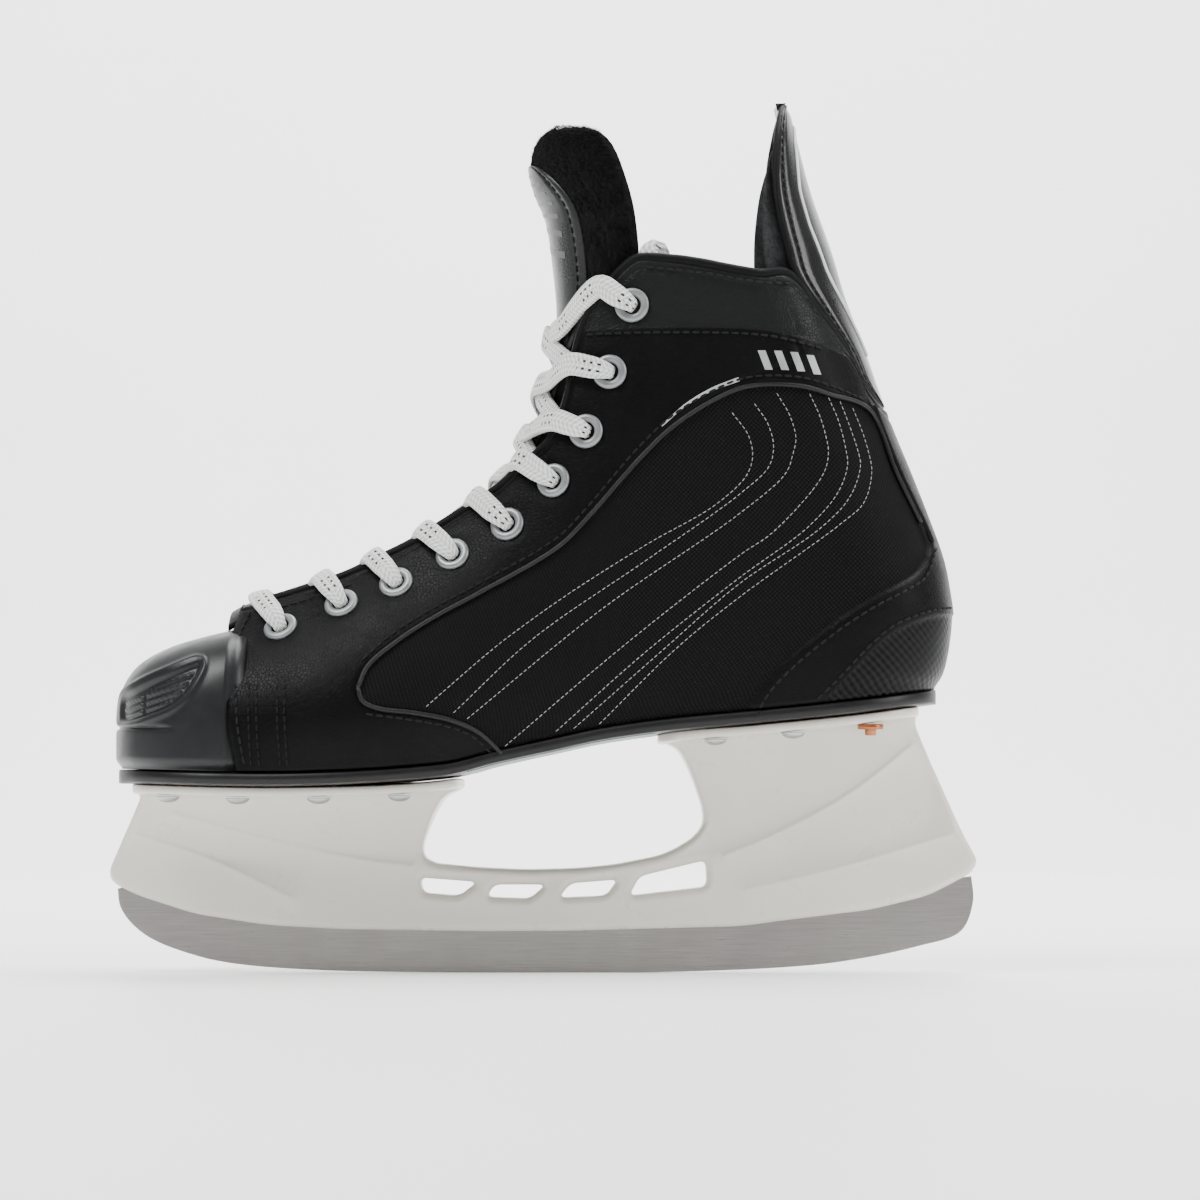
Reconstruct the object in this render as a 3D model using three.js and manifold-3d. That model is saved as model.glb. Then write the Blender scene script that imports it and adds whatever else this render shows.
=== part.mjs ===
// A left ice hockey skate, laced and standing on its runner. Millimetres, toe towards -X, heel towards
// +X, the skater's left (lateral) side towards -Y, and the skating edge on the plane Z = 0.
import * as THREE from "three";
import { mergeVertices } from "three/addons/utils/BufferGeometryUtils.js";
import Module from "manifold-3d";

const wasm = await Module();
wasm.setup();

// ---------------------------------------------------------------- driving dimensions
const GAP = 0.3; // clearance between pieces that touch
const TOE_CENTRE = -104;
const TOE_LENGTH = 43;
const TOE_HALF_WIDTH = 45;
const HEEL_RADIUS = 37;
const BULGE_AT = 0.25; // height fraction of the widest part of the boot
const SOLE_THICK = 4.6;
const BOARD_THICK = 2;
const FOOTBED_THICK = 4;
const OVERLAY = [0, -1.2]; // outer and inner offset of the leather and nylon overlays
const QUARTER = [-1.5, -4];
const COUNTER = [-4.3, -5.8];
const LINING = [-6.1, -10.6];
const GUARD = [0, -4];
const GUARD_PAD = [-4.4, -10];
const TONGUE_THICK = 7;
const TONGUE_SUNK = 2; // how far the laces press the tongue in
const RUNNER_HALF = 1.5; // half the steel's thickness
const EYELET = { hole: 3.2, barrel: 3.9, flange: 5.85, depth: 4.7, crown: 1.1 };
const RIVET = { head: 4, shank: 2, crown: 1.6, drop: 1.2 };
const LACE = { width: 8.6, thick: 1.3, narrow: 3.4, round: 2 };
const CROSS_LIFT = 2.2; // height of one strand over the other where they cross
const SIDES = { lateral: -1, medial: 1 };
const COLUMNS = 14; // grid of each side of the boot, the same for every layer
const ROWS = 8;
const TOP_FRACTION = 1.06;

// Each table gives pairs of [place, value].
const SOLE_TOP = [[-147, 69.6], [-84, 68.5], [-33.5, 71.5], [-15, 76], [5.5, 80.5], [19.3, 83.5], [40, 86.5],
  [71, 89.5], [105.6, 93], [134.2, 96.8]];
const TOP_LINE = [[-112, 121], [-82.5, 130.5], [-53.5, 142], [-24.5, 159], [-5, 178], [10, 203], [25, 228],
  [40, 241], [60, 241], [100, 241]];
const SOLE_HALF = [[-104, 45], [-70, 46], [-40, 42], [0, 36], [40, 34], [80, 34.5], [110, 34.5]];
const BULGE_HALF = [[-104, 46], [-70, 49], [-40, 46], [0, 40.5], [40, 38.5], [80, 38.5], [110, 38.5]];
const TOP_HALF = [[-112, 15], [-82, 19], [-53, 22], [-24, 24.5], [0, 29], [13, 33.5], [33, 37.5], [60, 40],
  [100, 40]];
const FRONT_EDGE = [[69, -101.5], [83, -104], [102.5, -105.5], [114, -105.5], [125.5, -102.5]];
const REAR = [[90, 133], [97.5, 134.6], [101.9, 137.3], [109, 139.3], [121.7, 140.8], [128.9, 140.1],
  [141.6, 137.7], [156.5, 132.5], [172.4, 126.3], [188.2, 119.9], [215.5, 110.4], [233.7, 103.8],
  [248.2, 99.6], [269.3, 92.3], [287.4, 87.6], [300.5, 84.5]];
const TOE_CROWN = [[-147, 101], [-139.6, 106.5], [-129.4, 111], [-119, 114.2], [-104, 118]];

// Outlines in the X-Z plane.
const FACING_EDGE = [[-102.5, 125.5], [-94.5, 127], [-82.5, 130.5], [-67, 135.5], [-53.5, 142], [-43.5, 147],
  [-24.5, 159], [-14.5, 165.5], [-7, 172.5], [2.5, 181], [9, 196.5], [11.5, 211], [14.5, 221], [22, 233],
  [28, 240], [33, 242.5]];
const COLLAR_TOP = [[44.5, 241.3], [55, 239.5], [74, 236.2], [84.6, 236.5]];
const GUARD_LINE = [[85, 239], [94.5, 224.5], [104.5, 211.5], [109.5, 201.5], [118, 194.5]];
const PANEL_TOP = [[-61, 96.5], [-58, 103.5], [-48.5, 112], [-36.5, 120], [-21, 128.5], [5.5, 144], [15, 153.5],
  [33, 174], [44, 184.5], [58, 193.5], [69, 197.8], [86.5, 198], [97, 195.5], [111, 191.5]];
const PANEL_REAR = [[120, 170.5], [129, 152], [131.5, 146], [127.5, 137], [119.5, 131.5], [110, 126.5],
  [97.5, 118.5], [82, 106], [74, 97.5], [69.5, 90], [69, 60]];
const PANEL_FRONT = [[-11, 60], [-13.5, 74.5], [-21, 81.5], [-30, 85.5], [-42.5, 88], [-54.5, 89.5], [-59.5, 92]];
const BAND_SEAM = [[0, 217.5], [59.5, 217.5], [75.5, 216.5], [86, 211.5], [104, 209.5]];
const HEEL_EDGE = [[150, 193], [111.6, 193], [120.6, 171], [129.6, 152.4], [132.2, 146], [128, 136.4],
  [119.8, 130.9], [110.3, 125.9], [97.9, 117.9], [82.5, 105.5], [74.5, 97], [70.2, 90], [69.7, 60], [150, 60]];
const PATCH_EDGE = [[150, 122.5], [139, 122.5], [130, 120.5], [118, 115.5], [110, 109], [101, 99.5], [93, 91.5],
  [92, 60], [150, 60]];
const EYELETS = [[-88.5, 117.5], [-68, 125.5], [-49.5, 132.5], [-30.5, 142], [-12, 152], [3.5, 166.5],
  [14.5, 183], [22.5, 203], [30, 225.5]];

// Tongue stations from toe to top: centre front [x, z], edge [x, z] and half-width.
const TONGUE_ROWS = [
  { centre: [-99, 121], edge: [-97, 113], half: 17.5 }, { centre: [-84, 125.5], edge: [-81, 115.5], half: 21.5 },
  { centre: [-60, 136], edge: [-52, 122], half: 23.5 }, { centre: [-35, 150.5], edge: [-24, 134.5], half: 24 },
  { centre: [-15, 167], edge: [-1, 151.5], half: 25.5 }, { centre: [-4, 186], edge: [15, 175], half: 27.5 },
  { centre: [2, 206], edge: [25, 199], half: 29.5 }, { centre: [4.4, 222], edge: [31, 218], half: 30.5 },
  { centre: [4.6, 237], edge: [33, 237], half: 31 }, { centre: [2, 258], edge: [31.5, 257], half: 34 },
  { centre: [-2.5, 270], edge: [28, 271], half: 34.5 }, { centre: [-4.5, 279.3], edge: [24, 281], half: 33 },
  { centre: [-2.5, 287], edge: [19.5, 286.5], half: 29 }, { centre: [3, 292.5], edge: [15.5, 289.5], half: 18 },
];
const FLEX_ROW = 8; // the tongue folds here, just above the top eyelets
const GUARD_FLEX_Z = 240; // the tendon guard bends here, level with the collar

const RUNNER_BOTTOM = [[-146.5, 28.8], [-145.7, 23], [-142.3, 17.6], [-134.9, 11.7], [-119.7, 5.9], [-106.4, 3.1],
  [-78, 0.9], [-22, 0], [33, 0], [83.8, 1.9], [104.4, 4.1], [128, 8.9], [143.2, 14.1], [147.5, 24]];
const RUNNER_TOP = [[147, 33], [136, 31.5], [132, 40], [118, 40], [112, 29], [67.6, 22.5], [5.5, 20.5], [-22, 20.5],
  [-69.7, 21.5], [-94.7, 23], [-100, 38], [-114, 38], [-119.7, 26], [-139, 31]];
const HOLDER_SIDE = [[-146.1, 29.8], [-139, 26.4], [-119.7, 20.2], [-94.7, 16.4], [-69.7, 15], [-22, 14.3],
  [5.5, 14.4], [67.6, 16], [80.7, 17.8], [112, 21.6], [132, 26.4], [147, 34.3], [149, 38.3], [143.2, 49],
  [127, 85], [132, 96], [39.3, 96], [39.8, 79.6], [46.4, 76.4], [52, 64], [54.9, 52.3], [53.6, 48], [41.4, 40.5],
  [24.2, 37.1], [-6.6, 35.4], [-37.3, 38.1], [-41.7, 41.2], [-39.5, 50], [-33, 61.5], [-27.6, 63], [-27.6, 80],
  [-141.5, 80], [-140.5, 63], [-137.3, 61.9], [-143.2, 49.3], [-149, 35.5], [-148.7, 31.9]];
const HOLDER_SLOTS = [
  [[-42.4, 32.6], [-22.9, 31.1], [-29, 26.4], [-41.5, 27.4]],
  [[-16.9, 30.2], [0.7, 30.2], [-4.8, 25.4], [-19.7, 26]],
  [[9.2, 30.6], [25.4, 31.9], [21.4, 26.4], [5.2, 25.7]],
  [[32.9, 33], [55.5, 38.5], [55.9, 29.5], [29.3, 26.4]],
];
// Underside of the sole, which the holder's flanges follow.
const FLANGE_TOP = [[-147, 64.6], [-84, 63.4], [-28, 66.4], [39, 81.3], [71, 84.3], [105.6, 87.8], [134, 91.6]];
const FLANGE_HALF = [[-147, 8], [-140, 22], [-126, 32], [-100, 37.5], [-60, 38], [-28, 33], [39, 26],
  [60, 29.5], [110, 29.5], [126, 22], [134, 10]];
const FLANGE_THICK = 3.6;
const FRONT_RIVETS = [-126.4, -102.3, -75, -48];
const REAR_RIVETS = [58.3, 84.5, 110.8];
const RUNNER_BOLTS = { front: [-107, 38.3], rear: [123, 40.3] };

// ---------------------------------------------------------------- small maths
const clamp = THREE.MathUtils.clamp;

function along(table, place) {
  const last = table.length - 1;
  if (place <= table[0][0]) return table[0][1];
  if (place >= table[last][0]) return table[last][1];
  let i = 0;
  while (place > table[i + 1][0]) i += 1;
  const slope = (a, b) => (table[b][1] - table[a][1]) / (table[b][0] - table[a][0]);
  const span = table[i + 1][0] - table[i][0];
  const s = (place - table[i][0]) / span;
  const start = i === 0 ? slope(0, 1) : slope(i - 1, i + 1);
  const end = i + 1 === last ? slope(i, last) : slope(i, i + 2);
  const rise = span * (s * (1 - s) * (1 - s) * start - s * s * (1 - s) * end);
  return table[i][1] + (table[i + 1][1] - table[i][1]) * s * s * (3 - 2 * s) + rise;
}

function grow(points, distance) {
  const area = THREE.ShapeUtils.area(points.map(([x, z]) => new THREE.Vector2(x, z)));
  return points.map(([x, z], i) => {
    const before = points[(i + points.length - 1) % points.length];
    const after = points[(i + 1) % points.length];
    const tangent = new THREE.Vector2(after[0] - before[0], after[1] - before[1]).normalize();
    const turn = Math.sign(area) * distance;
    return [x + tangent.y * turn, z - tangent.x * turn];
  });
}

// ---------------------------------------------------------------- solids
function bodyOf(points, faces) {
  let volume = 0;
  for (const [a, b, c] of faces) volume += points[a].dot(points[b].clone().cross(points[c]));
  const facing = volume < 0 ? faces.map(([a, b, c]) => [a, c, b]) : faces;
  return new wasm.Manifold(new wasm.Mesh({
    numProp: 3,
    vertProperties: new Float32Array(points.flatMap((p) => [p.x, p.y, p.z])),
    triVerts: new Uint32Array(facing.flat()),
  }));
}

function solid(geometry) {
  geometry.deleteAttribute("normal");
  geometry.deleteAttribute("uv");
  const merged = mergeVertices(geometry.index ? geometry.toNonIndexed() : geometry, 1e-4);
  return new wasm.Manifold(new wasm.Mesh({
    numProp: 3,
    vertProperties: new Float32Array(merged.attributes.position.array),
    triVerts: new Uint32Array(merged.index.array),
  }));
}

// A closed sheet between two point functions over a grid of columns and rows.
function sheet(columns, rows, outer, inner) {
  const points = [];
  for (const surface of [outer, inner]) {
    for (let i = 0; i <= columns; i += 1) {
      for (let j = 0; j <= rows; j += 1) points.push(surface(i / columns, j / rows));
    }
  }
  const layer = (columns + 1) * (rows + 1);
  const at = (i, j, k) => k * layer + i * (rows + 1) + j;
  const faces = [];
  const quad = (a, b, c, d) => faces.push([a, b, c], [a, c, d]);
  for (let i = 0; i < columns; i += 1) {
    for (let j = 0; j < rows; j += 1) {
      quad(at(i, j, 0), at(i + 1, j, 0), at(i + 1, j + 1, 0), at(i, j + 1, 0));
      quad(at(i, j, 1), at(i, j + 1, 1), at(i + 1, j + 1, 1), at(i + 1, j, 1));
    }
    quad(at(i, 0, 0), at(i, 0, 1), at(i + 1, 0, 1), at(i + 1, 0, 0));
    quad(at(i, rows, 0), at(i + 1, rows, 0), at(i + 1, rows, 1), at(i, rows, 1));
  }
  for (let j = 0; j < rows; j += 1) {
    quad(at(0, j, 0), at(0, j + 1, 0), at(0, j + 1, 1), at(0, j, 1));
    quad(at(columns, j, 0), at(columns, j, 1), at(columns, j + 1, 1), at(columns, j + 1, 0));
  }
  return bodyOf(points, faces);
}

// A closed body through sections that all have the same number of corners.
function loft(sections, cap) {
  const count = sections[0].length;
  const faces = [];
  for (let i = 0; i + 1 < sections.length; i += 1) {
    for (let j = 0; j < count; j += 1) {
      const a = i * count + j;
      const b = i * count + ((j + 1) % count);
      faces.push([a, b, b + count], [a, b + count, a + count]);
    }
  }
  const lastStart = (sections.length - 1) * count;
  for (const [a, b, c] of cap) faces.push([c, b, a], [lastStart + a, lastStart + b, lastStart + c]);
  return bodyOf(sections.flat(), faces);
}

// A plate with an X-Z outline between two Y planes.
function plate(points, y0, y1) {
  const shape = new THREE.Shape(points.map(([x, z]) => new THREE.Vector2(x, z)));
  const geometry = new THREE.ExtrudeGeometry(shape, { depth: y1 - y0, bevelEnabled: false });
  geometry.rotateX(Math.PI / 2);
  geometry.translate(0, y1, 0);
  return solid(geometry);
}

// A lathed piece whose own axis is +Z, turned to point along a direction and placed.
function turned(profile, segments, place, direction) {
  const shape = profile.map(([r, z]) => new THREE.Vector2(r, z));
  const geometry = new THREE.LatheGeometry(shape, segments);
  geometry.rotateX(Math.PI / 2);
  geometry.applyQuaternion(new THREE.Quaternion().setFromUnitVectors(new THREE.Vector3(0, 0, 1), direction));
  geometry.translate(place.x, place.y, place.z);
  return solid(geometry);
}

function rod(radius, length, place, direction, segments = 16) {
  return turned([[0, -length / 2], [radius, -length / 2], [radius, length / 2], [0, length / 2]], segments, place,
    direction);
}

const skate = new THREE.Group();

function add(name, body, colour, roughness, metalness = 0) {
  const mesh = body.getMesh();
  const geometry = new THREE.BufferGeometry();
  geometry.setAttribute("position", new THREE.BufferAttribute(new Float32Array(mesh.vertProperties), 3));
  geometry.setIndex(new THREE.BufferAttribute(new Uint32Array(mesh.triVerts), 1));
  geometry.computeVertexNormals();
  const material = new THREE.MeshStandardMaterial({ color: colour, roughness, metalness });
  const node = new THREE.Mesh(geometry, material);
  node.name = name;
  skate.add(node);
}

// ---------------------------------------------------------------- the boot's form
function halfWidth(x, z, offset) {
  const low = along(SOLE_TOP, x);
  const high = along(TOP_LINE, x);
  const f = clamp((z - low) / (high - low), 0, 1.5);
  const bulge = along(BULGE_HALF, x);
  const sole = along(SOLE_HALF, x);
  const top = along(TOP_HALF, x);
  const rise = sole + (bulge - sole) * Math.sin((Math.PI / 2) * Math.min(f / BULGE_AT, 1));
  const turn = (Math.PI / 2) * ((f - BULGE_AT) / (1 - BULGE_AT));
  const width = (f < BULGE_AT ? rise : top + (bulge - top) * Math.cos(turn)) + offset;
  const rear = along(REAR, z) + offset;
  const back = clamp((x - (rear - HEEL_RADIUS)) / HEEL_RADIUS, 0, 1);
  return width * Math.sqrt(1 - back * back);
}

// A point of the boot's surface: t runs from the front edge of the lateral side (-1) round the heel (0)
// to the front edge of the medial side (1), and f from the sole (0) to the top line (1).
function bootPoint(t, f, offset) {
  const reach = Math.sin((Math.PI / 2) * (1 - Math.abs(t)));
  let x = TOE_CENTRE + (140 - TOE_CENTRE) * reach;
  let z = 0;
  for (let i = 0; i < 8; i += 1) {
    const low = along(SOLE_TOP, x) + GAP;
    z = low + f * (along(TOP_LINE, x) - low);
    const front = along(FRONT_EDGE, z);
    x = front + (along(REAR, z) + offset - front) * reach;
  }
  return new THREE.Vector3(x, Math.sign(t) * halfWidth(x, z, offset), z);
}

// Part of one layer, between grid columns (0 at the heel, COLUMNS at a front edge) and grid rows.
function skin([outer, inner], from, to, low = 0, high = ROWS) {
  const surface = (offset) => (u, v) => {
    const column = (from + (to - from) * u) / COLUMNS;
    return bootPoint(column, ((low + (high - low) * v) / ROWS) * TOP_FRACTION, offset);
  };
  return sheet(to - from, Math.ceil(high - low), surface(outer), surface(inner));
}

function sideSkin(side, layer) {
  return side < 0 ? skin(layer, -COLUMNS, 0) : skin(layer, 0, COLUMNS);
}

function normalAt(side, x, z) {
  const step = 0.5;
  const dx = (halfWidth(x + step, z, 0) - halfWidth(x - step, z, 0)) / (2 * step);
  const dz = (halfWidth(x, z + step, 0) - halfWidth(x, z - step, 0)) / (2 * step);
  return new THREE.Vector3(-dx, side, -dz).normalize();
}

const LEATHER = 0x151518;
const VINYL = 0x0c0c0e;
const FELT = 0x1b1b1d;

const quarterOutline = [...FACING_EDGE, ...COLLAR_TOP, ...GUARD_LINE, [150, 194.5], [150, 60], [-101.5, 60],
  [-104, 83], [-105.5, 102.5], [-105.5, 114]];
const panelOutline = [...PANEL_TOP, ...PANEL_REAR, ...PANEL_FRONT];
const bandOutline = [...BAND_SEAM, ...[...GUARD_LINE].slice(0, 3).reverse(),
  ...[...COLLAR_TOP].reverse(), [33, 242.5],
  [28, 240], [22, 233], [14.5, 221], [11.5, 217.5]].slice(1);

function eyeletPlace(side, [x, z]) {
  return new THREE.Vector3(x, side * halfWidth(x, z, 0), z);
}

function sideBox(side) {
  return [side < 0 ? -70 : 0.15, side < 0 ? -0.15 : 70];
}

function addSide(name, side) {
  const [y0, y1] = sideBox(side);
  const cut = (points, distance = 0) => plate(distance ? grow(points, distance) : points, y0, y1);
  const holes = EYELETS.map((place) => {
    const centre = eyeletPlace(side, place);
    return rod(EYELET.barrel + 2 * GAP, 16, centre, normalAt(side, ...place), 8);
  });
  const drilled = (body) => holes.reduce((left, hole) => left.subtract(hole), body);
  const inside = cut(quarterOutline);
  const shell = sideSkin(side, QUARTER).intersect(inside);
  add(`quarter_${name}`, drilled(shell), LEATHER, 0.6);
  const overlay = sideSkin(side, OVERLAY).intersect(inside);
  const facing = [panelOutline, bandOutline, HEEL_EDGE]
    .reduce((left, outline) => left.subtract(cut(outline, GAP)), overlay);
  add(`facing_${name}`, drilled(largest(facing)), LEATHER, 0.45);
  add(`side_panel_${name}`, overlay.intersect(cut(panelOutline)).subtract(cut(HEEL_EDGE, GAP)), VINYL, 0.8);
  add(`collar_band_${name}`, drilled(overlay.intersect(cut(bandOutline, -0.1))), VINYL, 0.3);
}

// Keeps the biggest piece where a cut has left slivers.
function largest(body) {
  return body.decompose().reduce((best, piece) => (piece.volume() > best.volume() ? piece : best));
}

function addHeel() {
  const wide = (points, distance = 0) => plate(distance ? grow(points, distance) : points, -70, 70);
  const back = skin(OVERLAY, -9, 9, 0, 6);
  const overlay = back.intersect(wide(HEEL_EDGE));
  add("heel_overlay", largest(overlay.subtract(wide(PATCH_EDGE, GAP))), LEATHER, 0.4);
  add("heel_patch", largest(back.intersect(wide(PATCH_EDGE))), 0x101012, 0.5);
  add("heel_counter", skin(COUNTER, -7, 7, 0, 3), 0x2a2a2c, 0.6);
}

function addLining() {
  const front = [[42, 60], [42, 200], [47, 238], [80, 233], [98, 233], [150, 233], [150, 60]];
  const padding = skin(LINING, -10, 10, 1).intersect(plate(front, -70, 70));
  add("ankle_lining", largest(padding), FELT, 0.95);
}

// ---------------------------------------------------------------- tendon guard
// Rows of the guard run across the back of the leg at one height each.
function guardPoint(offset, frontTable) {
  return (u, v, low, high) => {
    const z = low + (high - low) * v;
    const rear = along(REAR, z) + offset;
    const front = Math.min(along(frontTable, z), rear - 0.6);
    const reach = Math.min((rear - front) / HEEL_RADIUS, 1);
    const turn = Math.acos(1 - reach) * (2 * u - 1);
    const y = HEEL_RADIUS * 1.02 * Math.sin(turn);
    return new THREE.Vector3(rear - HEEL_RADIUS * (1 - Math.cos(turn)), y, z);
  };
}

function guardSheet([outer, inner], table, low, high, columns, rows) {
  const surface = (offset) => (u, v) => guardPoint(offset, table)(u, v, low, high);
  return sheet(columns, rows, surface(outer), surface(inner));
}

function addGuard() {
  const base = skin(GUARD, -6, 6, 4, 8);
  const baseOutline = [...grow([...GUARD_LINE, [150, 194.5], [150, 239.6], [85, 239.6]], -0.25)];
  add("guard_base", largest(base.intersect(plate(baseOutline, -70, 70))), VINYL, 0.35);
  const edge = [[240, 86], [255, 81], [267.5, 79.3], [282.5, 79.8], [293, 81], [300.4, 84]];
  add("tendon_guard", guardSheet(GUARD, edge, GUARD_FLEX_Z, 300.4, 12, 7), VINYL, 0.3);
  const padEdge = [[240, 75], [255, 74.3], [270, 75.5], [279, 77.5], [284, 81]];
  add("guard_pad", guardSheet(GUARD_PAD, padEdge, GUARD_FLEX_Z + GAP, 283.5, 10, 5), FELT, 0.95);
}

// ---------------------------------------------------------------- tongue
function tongueRow(row) {
  const table = (key, k) => TONGUE_ROWS.map((r, i) => [i, r[key][k]]);
  const tables = ["centre", "edge"].map((key) => [table(key, 0), table(key, 1)]);
  const [centre, edge] = tables.map(([xs, zs]) => new THREE.Vector2(along(xs, row), along(zs, row)));
  const half = along(TONGUE_ROWS.map((r, i) => [i, r.half]), row);
  return { centre, edge, half };
}

// A point of the tongue: angle runs across it from -90 to 90 degrees, depth is measured inwards.
function tonguePoint(row, angle, depth) {
  const { centre, edge, half } = tongueRow(row);
  const inward = edge.clone().sub(centre);
  const length = inward.length();
  inward.normalize();
  const reach = depth + (length - depth) * (1 - Math.cos(angle));
  const y = (half - depth) * Math.sin(angle);
  return new THREE.Vector3(centre.x + inward.x * reach, y, centre.y + inward.y * reach);
}

function tongueSheet(from, to, widest, outer, inner, columns, rows) {
  const surface = (depth) => (u, v) => {
    const row = from + (to - from) * v;
    return tonguePoint(row, widest(row) * (2 * u - 1), depth);
  };
  return sheet(columns, rows, surface(outer), surface(inner));
}

function addTongue() {
  const full = () => Math.PI / 2 - 0.04;
  const last = TONGUE_ROWS.length - 1;
  add("tongue", tongueSheet(0, FLEX_ROW - 0.04, full, TONGUE_SUNK, TONGUE_THICK - 1, 10, 11), FELT, 0.95);
  add("tongue_top", tongueSheet(FLEX_ROW, last, full, 0, TONGUE_THICK, 10, 7), FELT, 0.95);
  const leafStart = FLEX_ROW + 0.1;
  const leafEnd = 11;
  const leaf = (row) => 0.04 + 0.8 * Math.sqrt(1 - ((row - leafStart) / (leafEnd - leafStart)) ** 2);
  add("tongue_panel", tongueSheet(leafStart, leafEnd, leaf, -2.1, -0.9, 8, 6), 0x55585b, 0.35);
}

// ---------------------------------------------------------------- toe
function toePoint(turn, lift, inset) {
  const across = Math.sin(turn);
  const power = 0.27 + 0.33 * across * across;
  const out = Math.cos(lift) ** power;
  const rise = Math.sin(lift) ** power;
  const x = TOE_CENTRE - 1.9 - (TOE_LENGTH - 2.4 - inset) * Math.max(Math.cos(turn), 0) ** 0.92 * out;
  const base = along(SOLE_TOP, x) + GAP;
  const z = base + (along(TOE_CROWN, x) - inset * 0.9 - base) * rise;
  return new THREE.Vector3(x, (TOE_HALF_WIDTH + 0.6 - inset) * across * out, z);
}

function addToe() {
  const surface = (inset) => (u, v) =>
    toePoint((u - 0.5) * (Math.PI - 0.02), 0.01 + v * (Math.PI / 2 - 0.03), inset);
  add("toe_cap", sheet(18, 7, surface(0), surface(2.6)), 0x242427, 0.38);
  const strap = (lift) => (u, v) => {
    const x = -105 + 9 * v;
    const half = along(TOP_HALF, x) - 5;
    const y = half * (2 * u - 1);
    return new THREE.Vector3(x, y, along(TOP_LINE, x) + 2.2 + lift - 4.2 * (y / half) ** 2);
  };
  add("throat_strap", sheet(10, 2, strap(0.4), strap(-1.2)), LEATHER, 0.45);
}

// ---------------------------------------------------------------- sole and footbed
function soleHalf(x, inset) {
  const front = TOE_CENTRE - x;
  const rear = x - (134.5 - HEEL_RADIUS);
  const nose = Math.sqrt(Math.max(0, 1 - (Math.max(front, 0) / (TOE_LENGTH - 1.5 - inset)) ** 2));
  const tail = Math.sqrt(Math.max(0, 1 - (Math.max(rear, 0) / (HEEL_RADIUS - inset)) ** 2));
  return (along(SOLE_HALF, x) - inset) * nose * tail;
}

function soleBody(inset, low, high) {
  const start = TOE_CENTRE - TOE_LENGTH + 1.5 + inset + 0.4;
  const end = 134.5 - inset - 0.4;
  const stations = 20;
  const sections = [];
  for (let i = 0; i <= stations; i += 1) {
    const x = (start + end) / 2 - ((end - start) / 2) * Math.cos((Math.PI * i) / stations);
    const half = soleHalf(x, inset);
    const top = along(SOLE_TOP, x);
    sections.push([[-half, low], [half, low], [half, high], [-half, high]]
      .map(([y, lift]) => new THREE.Vector3(x, y, top + lift)));
  }
  return loft(sections, [[0, 1, 2], [0, 2, 3]]);
}

function rivetPlaces() {
  const places = [];
  const rows = { front: FRONT_RIVETS, rear: REAR_RIVETS };
  for (const [end, xs] of Object.entries(rows)) {
    for (const [name, side] of Object.entries(SIDES)) {
      xs.forEach((x, i) => {
        const copper = end === "rear" && i === 2;
        places.push({ label: `rivet_${end}_${name}_${i + 1}`, x, side, copper });
      });
    }
  }
  return places.map((place) => {
    const y = place.side * (along(FLANGE_HALF, place.x) - 6.2);
    return { ...place, at: new THREE.Vector3(place.x, y, along(FLANGE_TOP, place.x) - FLANGE_THICK) };
  });
}

const UP = new THREE.Vector3(0, 0, 1);

function addSole(rivets) {
  const drill = (body) =>
    rivets.reduce((left, { at }) => left.subtract(rod(RIVET.shank + GAP, 40, at, UP, 8)), body);
  add("outsole", drill(soleBody(-0.4, -SOLE_THICK, 0)), 0x1d2a2a, 0.6);
  add("lasting_board", drill(soleBody(8, GAP, GAP + BOARD_THICK)), 0x6b5a44, 0.9);
  const bedLow = 2 * GAP + BOARD_THICK;
  add("footbed", soleBody(12, bedLow, bedLow + FOOTBED_THICK), 0x2b2b2e, 0.9);
}

function addRivets(rivets) {
  for (const { label, at, copper } of rivets) {
    const top = FLANGE_THICK + SOLE_THICK + 0.6;
    const profile = [[0, -RIVET.drop - RIVET.crown], [RIVET.head, -RIVET.drop - 0.5],
      [RIVET.head, -RIVET.drop], [RIVET.shank, -RIVET.drop],
      [RIVET.shank, top], [0, top]];
    add(label, turned(profile, 10, at, UP), copper ? 0x9a4a28 : 0xb4b6b8, 0.35, 1);
  }
}

// ---------------------------------------------------------------- blade holder and runner
// Half of the holder's cross-section at one station, from the steel up to the flange.
function holderSection(x) {
  const top = along(FLANGE_TOP, x) - GAP;
  const flange = along(FLANGE_HALF, x);
  const neck = Math.min(13 + 0.12 * Math.abs(x), flange * 0.55);
  const low = 13;
  const half = [[5.4, low], [6.6, 24], [6.9, 37], [neck * 0.72, (37 + top) / 2], [neck, top - FLANGE_THICK - 2.5],
    [neck + 2.5, top - FLANGE_THICK], [flange, top - FLANGE_THICK], [flange, top]];
  const mirrored = [...half].reverse().map(([y, z]) => [-y, z]);
  return [...half, ...mirrored].map(([y, z]) => new THREE.Vector3(x, y, z));
}

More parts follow.
